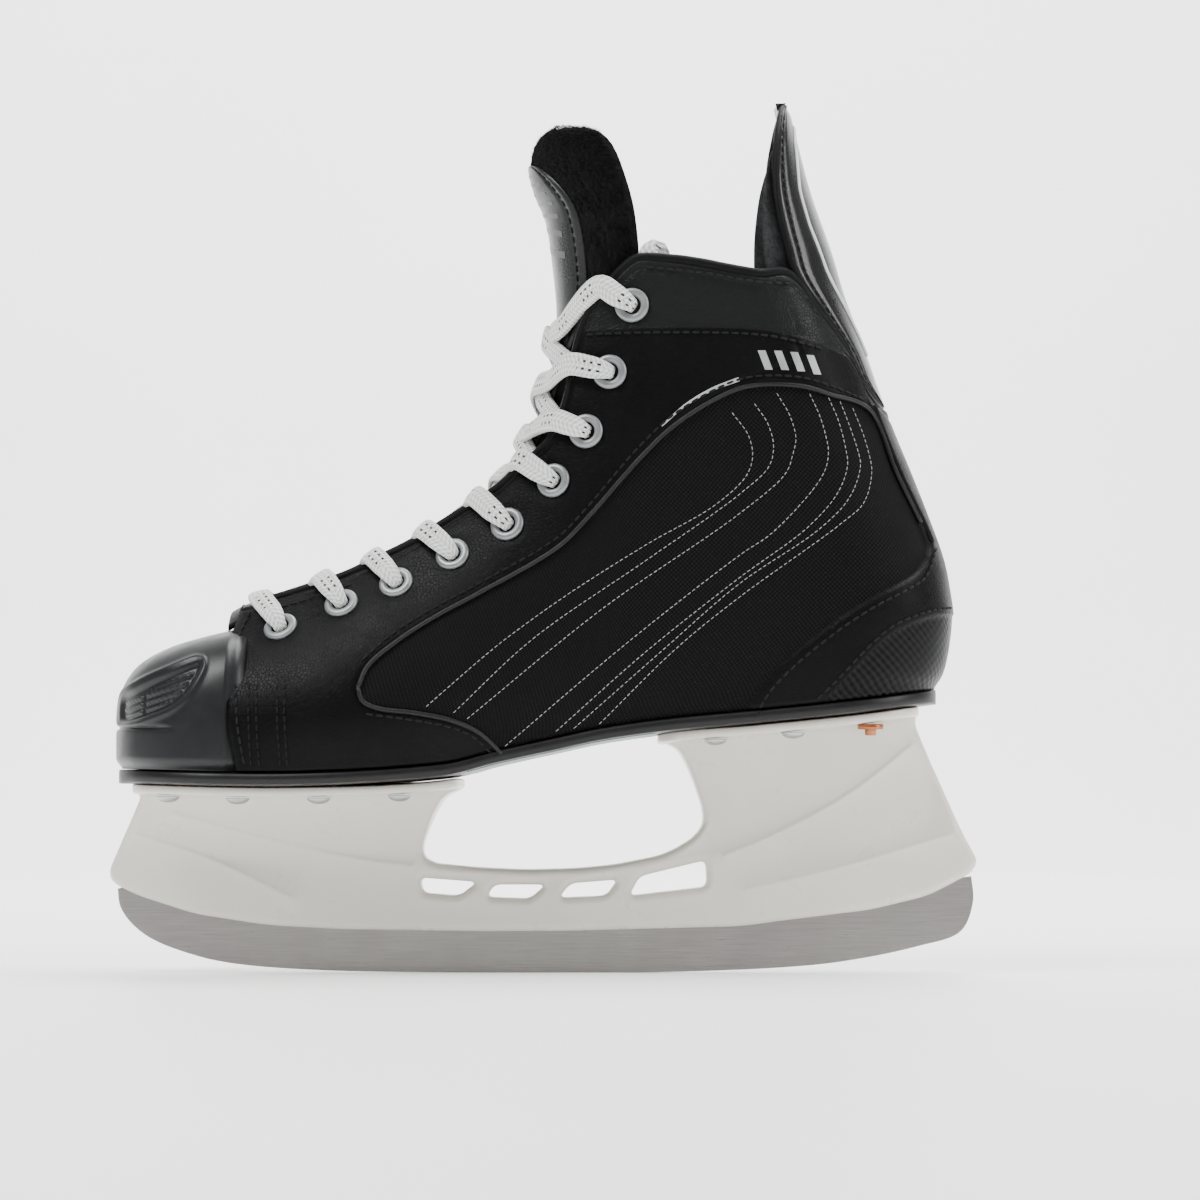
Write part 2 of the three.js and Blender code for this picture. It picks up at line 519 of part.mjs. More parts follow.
function addHolder(rivets) {
  const stations = [-149.5, -140, -126, -112, -90, -60, -27, 0, 39, 58, 85, 112, 126, 134, 149.5];
  const sections = stations.map(holderSection);
  const cap = THREE.ShapeUtils.triangulateShape(sections[0].map((p) => new THREE.Vector2(p.y, p.z)), []);
  let body = loft(sections, cap).intersect(plate(HOLDER_SIDE, -60, 60));
  for (const slot of HOLDER_SLOTS) body = body.subtract(plate(slot, -20, 20));
  const outline = [...RUNNER_BOTTOM, ...RUNNER_TOP];
  body = body.subtract(plate(grow(outline, GAP + 0.1), -RUNNER_HALF - GAP, RUNNER_HALF + GAP));
  const frontPocket = plate([[-128, 52], [-62, 46], [-56, 80], [-128, 80]], -7, 7);
  const rearPocket = plate([[70, 56], [128, 56], [118, 100], [66, 100]], -7, 7);
  body = body.subtract(frontPocket).subtract(rearPocket);
  for (const [x, z] of Object.values(RUNNER_BOLTS)) {
    body = body.subtract(rod(2.8, 40, new THREE.Vector3(x, 0, z + 20 - 0.05), UP, 12));
  }
  for (const { at } of rivets) body = body.subtract(rod(RIVET.shank + GAP, 12, at, UP, 8));
  add("blade_holder", largest(body), 0xdedbd3, 0.35);
  add("runner", plate(outline, -RUNNER_HALF, RUNNER_HALF), 0x8f9292, 0.3, 1);
  for (const [name, [x, z]] of Object.entries(RUNNER_BOLTS)) {
    const floor = name === "front" ? 52 : 56.3;
    const head = floor + GAP - z;
    const profile = [[0, GAP], [2.4, GAP], [2.4, head], [4.2, head], [4.2, head + 3], [0, head + 3]];
    add(`runner_bolt_${name}`, turned(profile, 12, new THREE.Vector3(x, 0, z), UP), 0x707376, 0.4, 1);
  }
}

// ---------------------------------------------------------------- eyelets and lace
function addEyelets() {
  for (const [name, side] of Object.entries(SIDES)) {
    EYELETS.forEach((place, i) => {
      const lip = 1;
      const profile = [[EYELET.hole, -EYELET.depth], [EYELET.barrel, -EYELET.depth], [EYELET.barrel, lip],
        [EYELET.flange, lip], [EYELET.barrel, lip + EYELET.crown], [EYELET.hole, lip + 0.6],
        [EYELET.hole, -EYELET.depth]];
      const body = turned(profile, 10, eyeletPlace(side, place), normalAt(side, ...place));
      add(`eyelet_${name}_${i + 1}`, body, 0x8a8f90, 0.4, 0.6);
    });
  }
}

// Where the tongue's stations pass an eyelet, as a station number.
function rowBeside([x, z]) {
  let best = { row: 0, gap: Infinity };
  for (let row = 0; row <= FLEX_ROW; row += 0.1) {
    const { centre, edge } = tongueRow(row);
    const line = edge.clone().sub(centre);
    const to = new THREE.Vector2(x, z).sub(centre);
    const gap = Math.abs(line.cross(to)) / line.length();
    if (gap < best.gap) best = { row, gap };
  }
  return best.row;
}

function onTongue(row, angle, lift) {
  const point = tonguePoint(row, angle, -lift);
  return { point, normal: point.clone().sub(tonguePoint(row, angle, 0)).normalize() };
}

function edgeBeside(side, [x, z]) {
  const distance = ([ex, ez]) => Math.hypot(ex - x - 2, ez - z - 8);
  const [ex, ez] = FACING_EDGE.reduce((best, place) => (distance(place) < distance(best) ? place : best));
  return new THREE.Vector3(ex, side * halfWidth(ex, ez, 0), ez);
}

// One strand of the lace from the middle of the bottom bar up to the top eyelet: each station holds a
// point, the way the flat braid faces, and its width and thickness there.
function strand(firstSide) {
  const stations = [];
  const put = (point, normal, width = LACE.width, thick = LACE.thick) => {
    stations.push({ point, normal, width, thick });
  };
  const rows = EYELETS.map(rowBeside);
  EYELETS.forEach((place, i) => {
    const side = i % 2 ? -firstSide : firstSide;
    const normal = normalAt(side, ...place);
    const eye = eyeletPlace(side, place);
    const edge = edgeBeside(side, place);
    const inward = edge.clone().sub(eye).normalize();
    const from = (rise, run) => eye.clone().addScaledVector(normal, rise).addScaledVector(inward, run);
    const crossing = firstSide > 0 && i > 0 ? CROSS_LIFT : 0;
    const middle = onTongue(i ? (rows[i - 1] + rows[i]) / 2 : rows[0], 0, 1.7 + crossing);
    put(middle.point, middle.normal);
    const climb = onTongue(i ? rows[i - 1] * 0.35 + rows[i] * 0.65 : rows[0], side * (0.2 + 0.05 * i), 3.8);
    put(climb.point, climb.normal, LACE.width * 0.8);
    const rise = onTongue(rows[i], side * 0.5, 4);
    const overEdge = edge.clone().addScaledVector(normal, 5.7).addScaledVector(inward, 1);
    put(overEdge, normal.clone().add(rise.normal).normalize(), LACE.width * 0.7);
    put(from(4.6, 3), normal, LACE.width * 0.65);
    put(from(3, 0.3), normal.clone().sub(inward).normalize(), LACE.narrow, LACE.round);
    put(from(-5.2, 0), inward.clone().negate(), LACE.narrow, LACE.round);
    const under = onTongue(rows[i], side * 1.12, 0.6);
    if (i + 1 < EYELETS.length) {
      put(under.point, under.normal, LACE.width * 0.5);
      const out = onTongue(rows[i] + 0.12, side * 0.6, 1.3);
      put(out.point, out.normal, LACE.width * 0.45);
    }
  });
  const side = -firstSide * (EYELETS.length % 2 ? -1 : 1);
  return [...stations, ...tail(side)];
}

// The end of a strand, tucked over the collar and down into the boot, then along the footbed.
function tail(side) {
  const bedLift = 2 * GAP + BOARD_THICK + FOOTBED_THICK + 1.3;
  const bed = (x, y) => new THREE.Vector3(x, side * y, along(SOLE_TOP, x) + bedLift);
  const inside = new THREE.Vector3(0, side, 0);
  const hanging = [[36.6, 30.4, 233], [37.2, 31, 244], [38.4, 28, 247], [39.6, 24, 238], [43, 20, 150]];
  const run = (from, to, y) => [0, 1, 2, 3, 4, 5, 6].map((step) => [from + ((to - from) * step) / 6, y]);
  const lying = [...run(48, -78, 16), [-88, 11], ...run(-78, 85, 5.5)];
  const facing = [inside, inside, new THREE.Vector3(0.3, 0, 1), inside.clone().negate(), inside.clone().negate()];
  return [
    ...hanging.map(([x, y, z], i) => ({ point: new THREE.Vector3(x, side * y, z), normal: facing[i] })),
    ...lying.map(([x, y]) => ({ point: bed(x, y), normal: UP })),
  ].map((station) => ({ width: LACE.width, thick: LACE.thick, ...station }));
}

function braid(stations) {
  const sections = stations.map(({ point, normal, width, thick }, i) => {
    const before = stations[Math.max(i - 1, 0)].point;
    const after = stations[Math.min(i + 1, stations.length - 1)].point;
    const ahead = after.clone().sub(before).normalize();
    const across = ahead.clone().cross(normal).normalize();
    const face = across.clone().cross(ahead).normalize();
    const corner = (w, t) =>
      point.clone().addScaledVector(across, (w * width) / 2).addScaledVector(face, (t * thick) / 2);
    return [corner(-1, -1), corner(1, -1), corner(1, 1), corner(-1, 1)];
  });
  return loft(sections, [[0, 1, 2], [0, 2, 3]]);
}

function addLace() {
  const [left, right] = [-1, 1].map(strand);
  add("lace", braid([...left.reverse(), ...right.slice(1)]), 0xf0f0ee, 0.9);
}

function build() {
  const rivets = rivetPlaces();
  for (const [name, side] of Object.entries(SIDES)) addSide(name, side);
  addHeel();
  addLining();
  addGuard();
  addTongue();
  addToe();
  addSole(rivets);
  addRivets(rivets);
  addHolder(rivets);
  addEyelets();
  addLace();
}

build();

export default skate;
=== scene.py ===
"""Looks of a left ice hockey skate: high-resolution boot, laces, tongue, guard, holder and runner."""
import math

import bmesh
import bpy
import numpy as np
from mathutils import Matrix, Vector
from mathutils.geometry import delaunay_2d_cdt


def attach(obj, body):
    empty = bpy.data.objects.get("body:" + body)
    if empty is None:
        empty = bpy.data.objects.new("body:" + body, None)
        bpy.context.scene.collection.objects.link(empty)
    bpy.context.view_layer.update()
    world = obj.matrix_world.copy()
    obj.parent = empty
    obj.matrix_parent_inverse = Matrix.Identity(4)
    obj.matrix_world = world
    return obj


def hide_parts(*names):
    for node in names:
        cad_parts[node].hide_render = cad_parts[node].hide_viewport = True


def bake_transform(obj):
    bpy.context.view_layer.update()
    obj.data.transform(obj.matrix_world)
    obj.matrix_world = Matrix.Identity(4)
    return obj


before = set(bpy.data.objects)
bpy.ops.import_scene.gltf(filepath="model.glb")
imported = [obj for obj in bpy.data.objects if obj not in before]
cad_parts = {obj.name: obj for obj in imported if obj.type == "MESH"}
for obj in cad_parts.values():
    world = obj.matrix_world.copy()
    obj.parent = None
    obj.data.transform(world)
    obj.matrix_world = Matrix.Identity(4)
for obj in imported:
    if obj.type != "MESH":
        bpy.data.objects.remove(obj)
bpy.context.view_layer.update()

MM = 0.001
SIDES = {"lateral": -1, "medial": 1}
EYE = (0.0193, -1.2, 0.0592)  # metres
AIM_HEIGHT = 0.1282
FLEX_ROW = 8.0  # the laces cross the tongue below this row
# Each tail's way over the collar and down into the boot.
TAIL = [(36.0, 31.0, 233), (36.2, 33.2, 243.2), (38.4, 31.2, 245.0), (39.6, 26, 237), (43, 20, 150)]
LACE_ABOVE_SOLE = 8.4  # where the tails lie, over the footbed
RNG = np.random.default_rng(7)

# The boot's form, in millimetres, as the frame has it: pairs of [place, value].
HEEL_RADIUS = 37.0
BULGE_AT = 0.25
SOLE_TOP = [[-147, 69.6], [-84, 68.5], [-33.5, 71.5], [-15, 76], [5.5, 80.5], [19.3, 83.5], [40, 86.5],
            [71, 89.5], [105.6, 93], [134.2, 96.8]]
TOP_LINE = [[-112, 121], [-82.5, 130.5], [-53.5, 142], [-24.5, 159], [-5, 178], [10, 203], [25, 228],
            [40, 241], [60, 241], [100, 241]]
SOLE_HALF = [[-104, 45], [-70, 46], [-40, 42], [0, 36], [40, 34], [80, 34.5], [110, 34.5]]
BULGE_HALF = [[-104, 46], [-70, 49], [-40, 46], [0, 40.5], [40, 38.5], [80, 38.5], [110, 38.5]]
TOP_HALF = [[-112, 15], [-82, 19], [-53, 22], [-24, 24.5], [0, 29], [13, 33.5], [33, 37.5], [60, 40],
            [100, 40]]
FRONT_EDGE = [[69, -101.5], [83, -104], [102.5, -105.5], [114, -105.5], [125.5, -102.5]]
REAR = [[90, 133], [97.5, 134.6], [101.9, 137.3], [109, 139.3], [121.7, 140.8], [128.9, 140.1],
        [141.6, 137.7], [156.5, 132.5], [172.4, 126.3], [188.2, 119.9], [215.5, 110.4], [233.7, 103.8],
        [248.2, 99.6], [269.3, 92.3], [287.4, 87.6], [300.5, 84.5]]
TOE_CROWN = [[-147, 101], [-139.6, 106.5], [-129.4, 111], [-119, 114.2], [-104, 118]]
UPPER_TOP = [[-106, 124.5], [-102.5, 125.5], [-94.5, 127], [-82.5, 130.5], [-67, 135.5], [-53.5, 142],
             [-43.5, 147], [-24.5, 159], [-14.5, 165.5], [-7, 172.5], [2.5, 181], [6.5, 189], [9, 196.5],
             [11.5, 211], [14.5, 221], [18, 228], [22, 233], [28, 239.5], [33, 242.5], [44.5, 241.3],
             [55, 239.5], [74, 236.2], [84.6, 236.5], [94.5, 224.5], [104.5, 211.5], [109.5, 201.5],
             [118, 194.5], [130, 194.5]]
PANEL = [[-61, 96.5], [-58, 103.5], [-48.5, 112], [-36.5, 120], [-21, 128.5], [5.5, 144], [15, 153.5],
         [33, 174], [44, 184.5], [58, 193.5], [69, 197.8], [86.5, 198], [97, 195.5], [111, 191.5],
         [120, 170.5], [129, 152], [131.5, 146], [127.5, 137], [119.5, 131.5], [110, 126.5], [97.5, 118.5],
         [82, 106], [74, 97.5], [69.5, 90], [68, 70], [-11, 60], [-13.5, 74.5], [-21, 81.5], [-30, 85.5],
         [-42.5, 88], [-54.5, 89.5], [-59.5, 92]]
BAND_SEAM = [[0, 217.5], [59.5, 217.5], [75.5, 216.5], [84, 215], [93, 213], [104, 209.5], [118, 209]]
TIP = [[82, 215], [86.5, 210.5], [86, 206.5], [74, 202.5], [63.5, 198], [53.5, 191.5]]
PATCH = [[142, 122.5], [139, 122.5], [130, 120.5], [118, 115.5], [110, 109], [101, 99.5], [93, 91.5]]
HEEL = [[111.6, 193], [120.6, 171], [129.6, 152.4], [132.2, 146], [128, 136.4], [119.8, 130.9],
        [110.3, 125.9], [97.9, 117.9], [82.5, 105.5], [74.5, 97], [70.2, 89.8]]
EYELETS = [[-88.5, 117.5], [-68, 125.5], [-49.5, 132.5], [-30.5, 142], [-12, 152], [3.5, 166.5],
           [14.5, 183], [22.5, 203], [30, 225.5]]
TONGUE_CENTRE = [[-99, 121], [-84, 125.5], [-60, 136], [-35, 150.5], [-15, 167], [-4, 186], [2, 206],
                 [4.4, 222], [4.6, 237], [2, 258], [-2.5, 270], [-4.5, 279.3], [-2.5, 287], [3, 292.5]]
TONGUE_EDGE = [[-97, 113], [-81, 115.5], [-52, 122], [-24, 134.5], [-1, 151.5], [15, 175], [25, 199],
               [31, 218], [33, 237], [31.5, 257], [28, 271], [24, 281], [19.5, 286.5], [15.5, 289.5]]
TONGUE_HALF = [17.5, 21.5, 23.5, 24, 25.5, 27.5, 29.5, 30.5, 31, 34, 34.5, 33, 29, 18]
GUARD_EDGE = [[194.5, 117.4], [201.5, 109.6], [211.5, 104.6], [224.5, 94.7], [237, 85.6], [246, 82.9],
              [255, 80.8], [267.5, 79.1], [282.5, 79.7], [292, 81.2], [297.5, 82.6], [300.6, 84.4]]
VENT = [[-114.5, 105.2], [-126, 101.6], [-138, 96.8], [-143.6, 94.2], [-144.6, 89.5], [-143.4, 85.6],
        [-132, 87.6], [-122.8, 91.4], [-117.2, 97.5]]
RUNNER_BOTTOM = [[-146.5, 28.8], [-145.7, 23], [-142.3, 17.6], [-134.9, 11.7], [-119.7, 5.9],
                 [-106.4, 3.1], [-78, 0.9], [-22, 0], [33, 0], [83.8, 1.9], [104.4, 4.1], [128, 8.9],
                 [143.2, 14.1], [147.5, 24], [147, 33]]
HOLDER_OUTER = [[-146.1, 29.8], [-139, 26.4], [-119.7, 20.2], [-94.7, 16.4], [-69.7, 15], [-22, 14.3],
                [5.5, 14.4], [67.6, 16], [80.7, 17.8], [112, 21.6], [132, 26.4], [147, 34.3], [149, 38.3],
                [143.2, 49], [135, 67.5], [127, 85], [128, 90.4], [39.5, 81.3], [40, 79.6], [46.4, 76.4],
                [50.5, 68], [54.3, 57], [54.9, 51], [51, 46], [41.4, 40.5], [24.2, 37.1], [10, 35.8],
                [-6.6, 35.4], [-23, 36.2], [-37.3, 37.6], [-41.2, 39.8], [-41.4, 44], [-38, 53.5],
                [-34, 60.5], [-28.2, 63], [-28.2, 66], [-84, 63.2], [-140.5, 64.4], [-140, 62.4],
                [-137.3, 60.5], [-140.5, 54], [-143.6, 48], [-149, 35.5], [-148.7, 31.9]]
HOLDER_SLOTS = [
    [[-42.4, 32.6], [-22.9, 31.1], [-29, 26.4], [-41.5, 27.4]],
    [[-16.9, 30.2], [0.7, 30.2], [-4.8, 25.4], [-19.7, 26]],
    [[9.2, 30.6], [25.4, 31.9], [21.4, 26.4], [5.2, 25.7]],
    [[32.9, 33], [55.5, 38.5], [55.9, 29.5], [29.3, 26.4]],
]
# Creases in the holder's sides: each has a height and the line it follows.
RIDGES = [
    (1.5, [[-127, 54.8], [-94.5, 45.7], [-61, 38.5], [-44, 36.5]]),
    (1.2, [[-141, 48], [-111.4, 37.8], [-86, 25.5]]),
    (1.5, [[127.3, 79], [104.4, 61.2], [80.7, 48.1], [60.7, 39.6]]),
    (1.2, [[143.5, 48.8], [112.3, 39.2], [84.5, 31.9], [68.7, 28.5]]),
]
FLANGE_TOP = [[-147, 64.6], [-84, 63.4], [-28, 66.4], [39, 81.3], [71, 84.3], [105.6, 87.8], [134, 91.6]]
FLANGE_HALF = [[-147, 8], [-140, 22], [-126, 32], [-100, 37.5], [-60, 38], [-28, 33], [39, 26],
               [60, 29.5], [110, 29.5], [126, 22], [134, 10]]
FLANGE_THICK = 3.6
SOLE_HALF_THICK = 2.45
TOE_CENTRE = -104
PANEL_STITCH = [[-59, 106.5], [-49.5, 115], [-37, 123], [-21.5, 131.5], [5, 147], [14, 156],
                [31.5, 176.5], [43, 187.5], [57.5, 196.5], [69, 200.8], [86, 201], [97, 198.5], [108, 195]]
TOE_STITCH = [[-100, 122], [-102.6, 114], [-102.4, 102.5], [-101, 84], [-99, 72.5]]
# White dashed lines on the side panel, each from its hooked top down to the sole.
DASHES = [
    [[64, 188.5], [69, 181.5], [70.5, 174.5], [68.5, 168], [58, 158], [35.5, 145], [8, 127.5], [-12, 113],
     [-20.5, 106], [-38, 90.5]],
    [[71.5, 191.5], [75.5, 185.5], [77.5, 178], [76, 171], [66, 161.5], [35, 139.5], [-3, 113], [-29, 88.5]],
    [[79, 195], [83, 188], [85, 180.5], [84, 175], [81.5, 168.5], [66, 155], [20, 123], [-24.5, 86.5]],
    [[90, 195], [93, 188.5], [95, 182], [96, 175.5], [94, 168], [77.5, 149], [66, 141], [30, 113],
     [-12, 77.5]],
    [[96.5, 194], [99.5, 187], [102, 177], [102.5, 171.5], [99, 162], [89, 150.5], [66, 133.5], [35, 109],
     [5, 82.5]],
    [[100.5, 193], [103, 186.5], [106, 177.5], [107, 171.5], [103, 160.5], [93, 150], [66, 131.5],
     [40, 109], [11, 83.5]],
    [[105, 191], [108, 183.5], [110, 176.5], [111, 170], [108, 159], [100.5, 152], [66, 127], [45, 110],
     [19.5, 85]],
]


# ---------------------------------------------------------------- small maths
def along(table, place):
    """Smooth curve through a table of [place, value] pairs, constant past its ends."""
    xs, ys = np.array(table, float).T
    p = np.clip(np.asarray(place, float), xs[0], xs[-1])
    i = np.clip(np.searchsorted(xs, p, side="right") - 1, 0, len(xs) - 2)
    slopes = np.empty(len(xs))
    slopes[1:-1] = (ys[2:] - ys[:-2]) / (xs[2:] - xs[:-2])
    slopes[0] = (ys[1] - ys[0]) / (xs[1] - xs[0])
    slopes[-1] = (ys[-1] - ys[-2]) / (xs[-1] - xs[-2])
    span = xs[i + 1] - xs[i]
    s = (p - xs[i]) / span
    rise = span * (s * (1 - s) ** 2 * slopes[i] - s * s * (1 - s) * slopes[i + 1])
    return ys[i] + (ys[i + 1] - ys[i]) * s * s * (3 - 2 * s) + rise


def smoothstep(low, high, value):
    """A soft step from 0 at low to 1 at high, whichever is the larger."""
    s = np.clip((np.asarray(value, float) - low) / (high - low), 0, 1)
    return s * s * (3 - 2 * s)


def run_lengths(line):
    """How far along a polyline each of its points lies."""
    return np.concatenate([[0], np.cumsum(np.linalg.norm(np.diff(line, axis=0), axis=1))])


def resampled(line, lengths, places):
    """The polyline's points at the given distances along it."""
    return np.stack([np.interp(places, lengths, line[:, k]) for k in range(line.shape[1])], axis=1)


def curve(points, step, closed=False):
    """Points at about equal steps along a smooth line through the given ones."""
    p = np.array(points, float)
    if closed:
        p = np.vstack([p[-1], p, p[0], p[1]])
    else:
        p = np.vstack([2 * p[0] - p[1], p, 2 * p[-1] - p[-2]])
    out = []
    for a, b, c, d in zip(p[:-3], p[1:-2], p[2:-1], p[3:]):
        tau = 0.5
        knots = [0.0]
        for u, v in ((a, b), (b, c), (c, d)):
            knots.append(knots[-1] + max(np.linalg.norm(v - u), 1e-6) ** tau)
        t = np.linspace(knots[1], knots[2], 24, endpoint=False)[:, None]
        k0, k1, k2, k3 = knots
        a1 = (k1 - t) / (k1 - k0) * a + (t - k0) / (k1 - k0) * b
        a2 = (k2 - t) / (k2 - k1) * b + (t - k1) / (k2 - k1) * c
        a3 = (k3 - t) / (k3 - k2) * c + (t - k2) / (k3 - k2) * d
        b1 = (k2 - t) / (k2 - k0) * a1 + (t - k0) / (k2 - k0) * a2
        b2 = (k3 - t) / (k3 - k1) * a2 + (t - k1) / (k3 - k1) * a3
        out.append((k2 - t) / (k2 - k1) * b1 + (t - k1) / (k2 - k1) * b2)
    line = np.vstack(out + [p[-2][None]])
    lengths = run_lengths(line)
    count = max(int(round(lengths[-1] / step)), 2)
    result = resampled(line, lengths, np.linspace(0, lengths[-1], count + 1))
    return result[:-1] if closed else result


def to_line(points, line, closed=False):
    """Distance from each point to a polyline."""
    a = np.asarray(line, float)
    b = np.roll(a, -1, axis=0) if closed else a[1:]
    a = a if closed else a[:-1]
    best = np.full(len(points), 1e9)
    for p, q in zip(a, b):
        d = q - p
        s = np.clip(((points - p) @ d) / max(d @ d, 1e-9), 0, 1)
        best = np.minimum(best, np.linalg.norm(points - (p + s[:, None] * d), axis=1))
    return best


def inside(points, outline):
    """Whether each point lies inside a closed outline."""
    x, z = points[:, 0], points[:, 1]
    hit = np.zeros(len(points), bool)
    a = np.asarray(outline, float)
    for p, q in zip(a, np.roll(a, -1, axis=0)):
        crosses = (p[1] > z) != (q[1] > z)
        at = p[0] + (z - p[1]) / np.where(q[1] == p[1], 1e-9, q[1] - p[1]) * (q[0] - p[0])
        hit ^= crosses & (x < at)
    return hit


def signed(points, outline):
    """Distance to a closed outline: above 0 inside it, below 0 outside."""
    distance = to_line(points, outline, closed=True)
    return np.where(inside(points, outline), distance, -distance)


# ---------------------------------------------------------------- meshes
def make(name, points, faces, material, smooth=True):
    mesh = bpy.data.meshes.new(name)
    mesh.from_pydata((np.asarray(points, float) * MM).tolist(), [], [list(map(int, f)) for f in faces])
    mesh.validate()
    mesh.materials.append(material)
    mesh.polygons.foreach_set("use_smooth", [smooth] * len(mesh.polygons))
    obj = bpy.data.objects.new(name, mesh)
    bpy.context.collection.objects.link(obj)
    return obj


def attribute(obj, name, values):
    data = obj.data.attributes.new(name, "FLOAT", "POINT")
    data.data.foreach_set("value", np.asarray(values, np.float32).ravel())


def grid_faces(n, m, start=0, wrap=False, flip=False):
    i, j = np.meshgrid(np.arange(n if wrap else n - 1), np.arange(m - 1), indexing="ij")
    a = start + i * m + j
    b = start + ((i + 1) % n) * m + j
    quads = np.stack([a, b, b + 1, a + 1], axis=-1).reshape(-1, 4)
    return quads[:, ::-1] if flip else quads


def grid_faces_wrapped(n, m):
    """Faces of a grid that closes round its second direction, with both ends capped."""
    faces = []
    for j in range(m):
        k = (j + 1) % m
        faces += [[i * m + j, (i + 1) * m + j, (i + 1) * m + k, i * m + k] for i in range(n - 1)]
    faces += [list(range(m)), list(range((n - 1) * m, n * m))[::-1]]
    return faces


def loft(name, x, half, middle, thick, section, material):
    """A closed bar along X: its half width, middle height and half thickness change from end to end."""
    across, up = section
    n, m = len(x), len(across)
    points = np.stack([np.broadcast_to(x[:, None], (n, m)), half[:, None] * across[None, :],
                       middle[:, None] + thick[:, None] * up[None, :]], axis=-1)
    obj = make(name, points.reshape(-1, 3), grid_faces_wrapped(n, m), material)
    recalculate(obj)
    return obj


def superellipse(angle, power_across, power_up):
    """How far across and up a rounded section reaches at each angle."""
    c, s = np.cos(angle), np.sin(angle)
    return np.sign(c) * np.abs(c) ** power_across, np.sign(s) * np.abs(s) ** power_up


def winding(line):
    """1 for an outline that runs anticlockwise, -1 for the other way."""
    x, z = line[:, 0], line[:, 1]
    return 1 if np.sum(x * np.roll(z, -1) - np.roll(x, -1) * z) > 0 else -1


def shell(name, outer, inner, material):
    """A closed sheet between two grids of points."""
    n, m = outer.shape[:2]
    points = np.concatenate([outer.reshape(-1, 3), inner.reshape(-1, 3)])
    faces = [grid_faces(n, m), grid_faces(n, m, n * m, flip=True)]
    rim = [i * m for i in range(n)] + [(n - 1) * m + j for j in range(1, m)]
    rim += [i * m + m - 1 for i in range(n - 2, -1, -1)] + [j for j in range(m - 2, 0, -1)]
    wall = [[a, b, b + n * m, a + n * m] for a, b in zip(rim, rim[1:] + rim[:1])]
    obj = make(name, points, np.concatenate([*faces, np.array(wall)[:, ::-1]]), material)
    recalculate(obj)
    return obj


def recalculate(obj):
    bm = bmesh.new()
    bm.from_mesh(obj.data)
    bmesh.ops.recalc_face_normals(bm, faces=bm.faces)
    bm.to_mesh(obj.data)
    bm.free()


def frames(path, up=None):
    """Tangent, side and face directions along a path."""
    tangent = np.gradient(path, axis=0)
    tangent /= np.maximum(np.linalg.norm(tangent, axis=1, keepdims=True), 1e-9)
    if up is None:
        up = np.tile([0.13, 0.2, 0.97], (len(path), 1))
    side = np.cross(tangent, up)
    side /= np.maximum(np.linalg.norm(side, axis=1, keepdims=True), 1e-9)
    return tangent, side, np.cross(side, tangent)


def sweep(name, path, width, thick, material, up=None, sides=12, power=1.0):
    """A closed bar along a path, with an oval section."""
    path = np.asarray(path, float)
    _, side, face = frames(path, up)
    width = np.broadcast_to(np.asarray(width, float), len(path))
    thick = np.broadcast_to(np.asarray(thick, float), len(path))
    angle = np.linspace(0, 2 * np.pi, sides, endpoint=False)
    across, through = superellipse(angle, power, power)
    ring = (path[:, None] + side[:, None] * (across[None, :, None] * width[:, None, None] / 2)
            + face[:, None] * (through[None, :, None] * thick[:, None, None] / 2))
    n = len(path)
    faces = []
    for j in range(sides):
        k = (j + 1) % sides
        for i in range(n - 1):
            a, b = i * sides, (i + 1) * sides
            faces.append([a + j, a + k, b + k, b + j])
    faces += [list(range(sides))[::-1], list(range((n - 1) * sides, n * sides))]
    obj = make(name, ring.reshape(-1, 3), faces, material)
    recalculate(obj)
    return obj


def beads(name, paths, pitch, length, radius, material):
    """Stitches: a small spindle at every pitch along each path."""
    points, faces, start = [], [], 0
    rings = [(-1, 0.35), (-0.7, 0.9), (0, 1), (0.7, 0.9), (1, 0.35)]
    for path in paths:
        line = curve(path, pitch)
        if len(line) < 3:
            continue
        tangent, side, face = frames(line)
        for p, t, s, u in zip(line, tangent, side, face):
            for along_it, size in rings:
                for k in range(6):
                    a = k * math.pi / 3
                    points.append(p + t * (along_it * length / 2)
                                  + (s * math.cos(a) + u * math.sin(a)) * radius * size)
            for r in range(4):
                for k in range(6):
                    b = start + r * 6
                    faces.append([b + k, b + (k + 1) % 6, b + 6 + (k + 1) % 6, b + 6 + k])
            faces.append([start + k for k in range(5, -1, -1)])
            faces.append([start + 24 + k for k in range(6)])
            start += 30
    return make(name, points, faces, material)


def lathe(name, profile, place, direction, material, segments=48):
    """A ring or disc turned about an axis: the profile is closed, as [radius, height] pairs."""
    profile = np.array(profile, float)
    axis = Vector(direction).to_track_quat("Z", "Y").to_matrix()
    m = len(profile)
    angle = np.linspace(0, 2 * np.pi, segments, endpoint=False)
    radius, height = profile[None, :, 0], np.broadcast_to(profile[None, :, 1], (segments, m))
    turned = [radius * np.cos(angle)[:, None], radius * np.sin(angle)[:, None], height]
    local = np.stack(turned, axis=-1)
    world = local @ np.array(axis).T + np.asarray(place, float)
    i, j = np.meshgrid(np.arange(segments), np.arange(m), indexing="ij")
    a, b = i * m + j, ((i + 1) % segments) * m + j
    c, d = ((i + 1) % segments) * m + (j + 1) % m, i * m + (j + 1) % m
    obj = make(name, world.reshape(-1, 3), np.stack([a, b, c, d], axis=-1).reshape(-1, 4), material)
    recalculate(obj)
    return obj


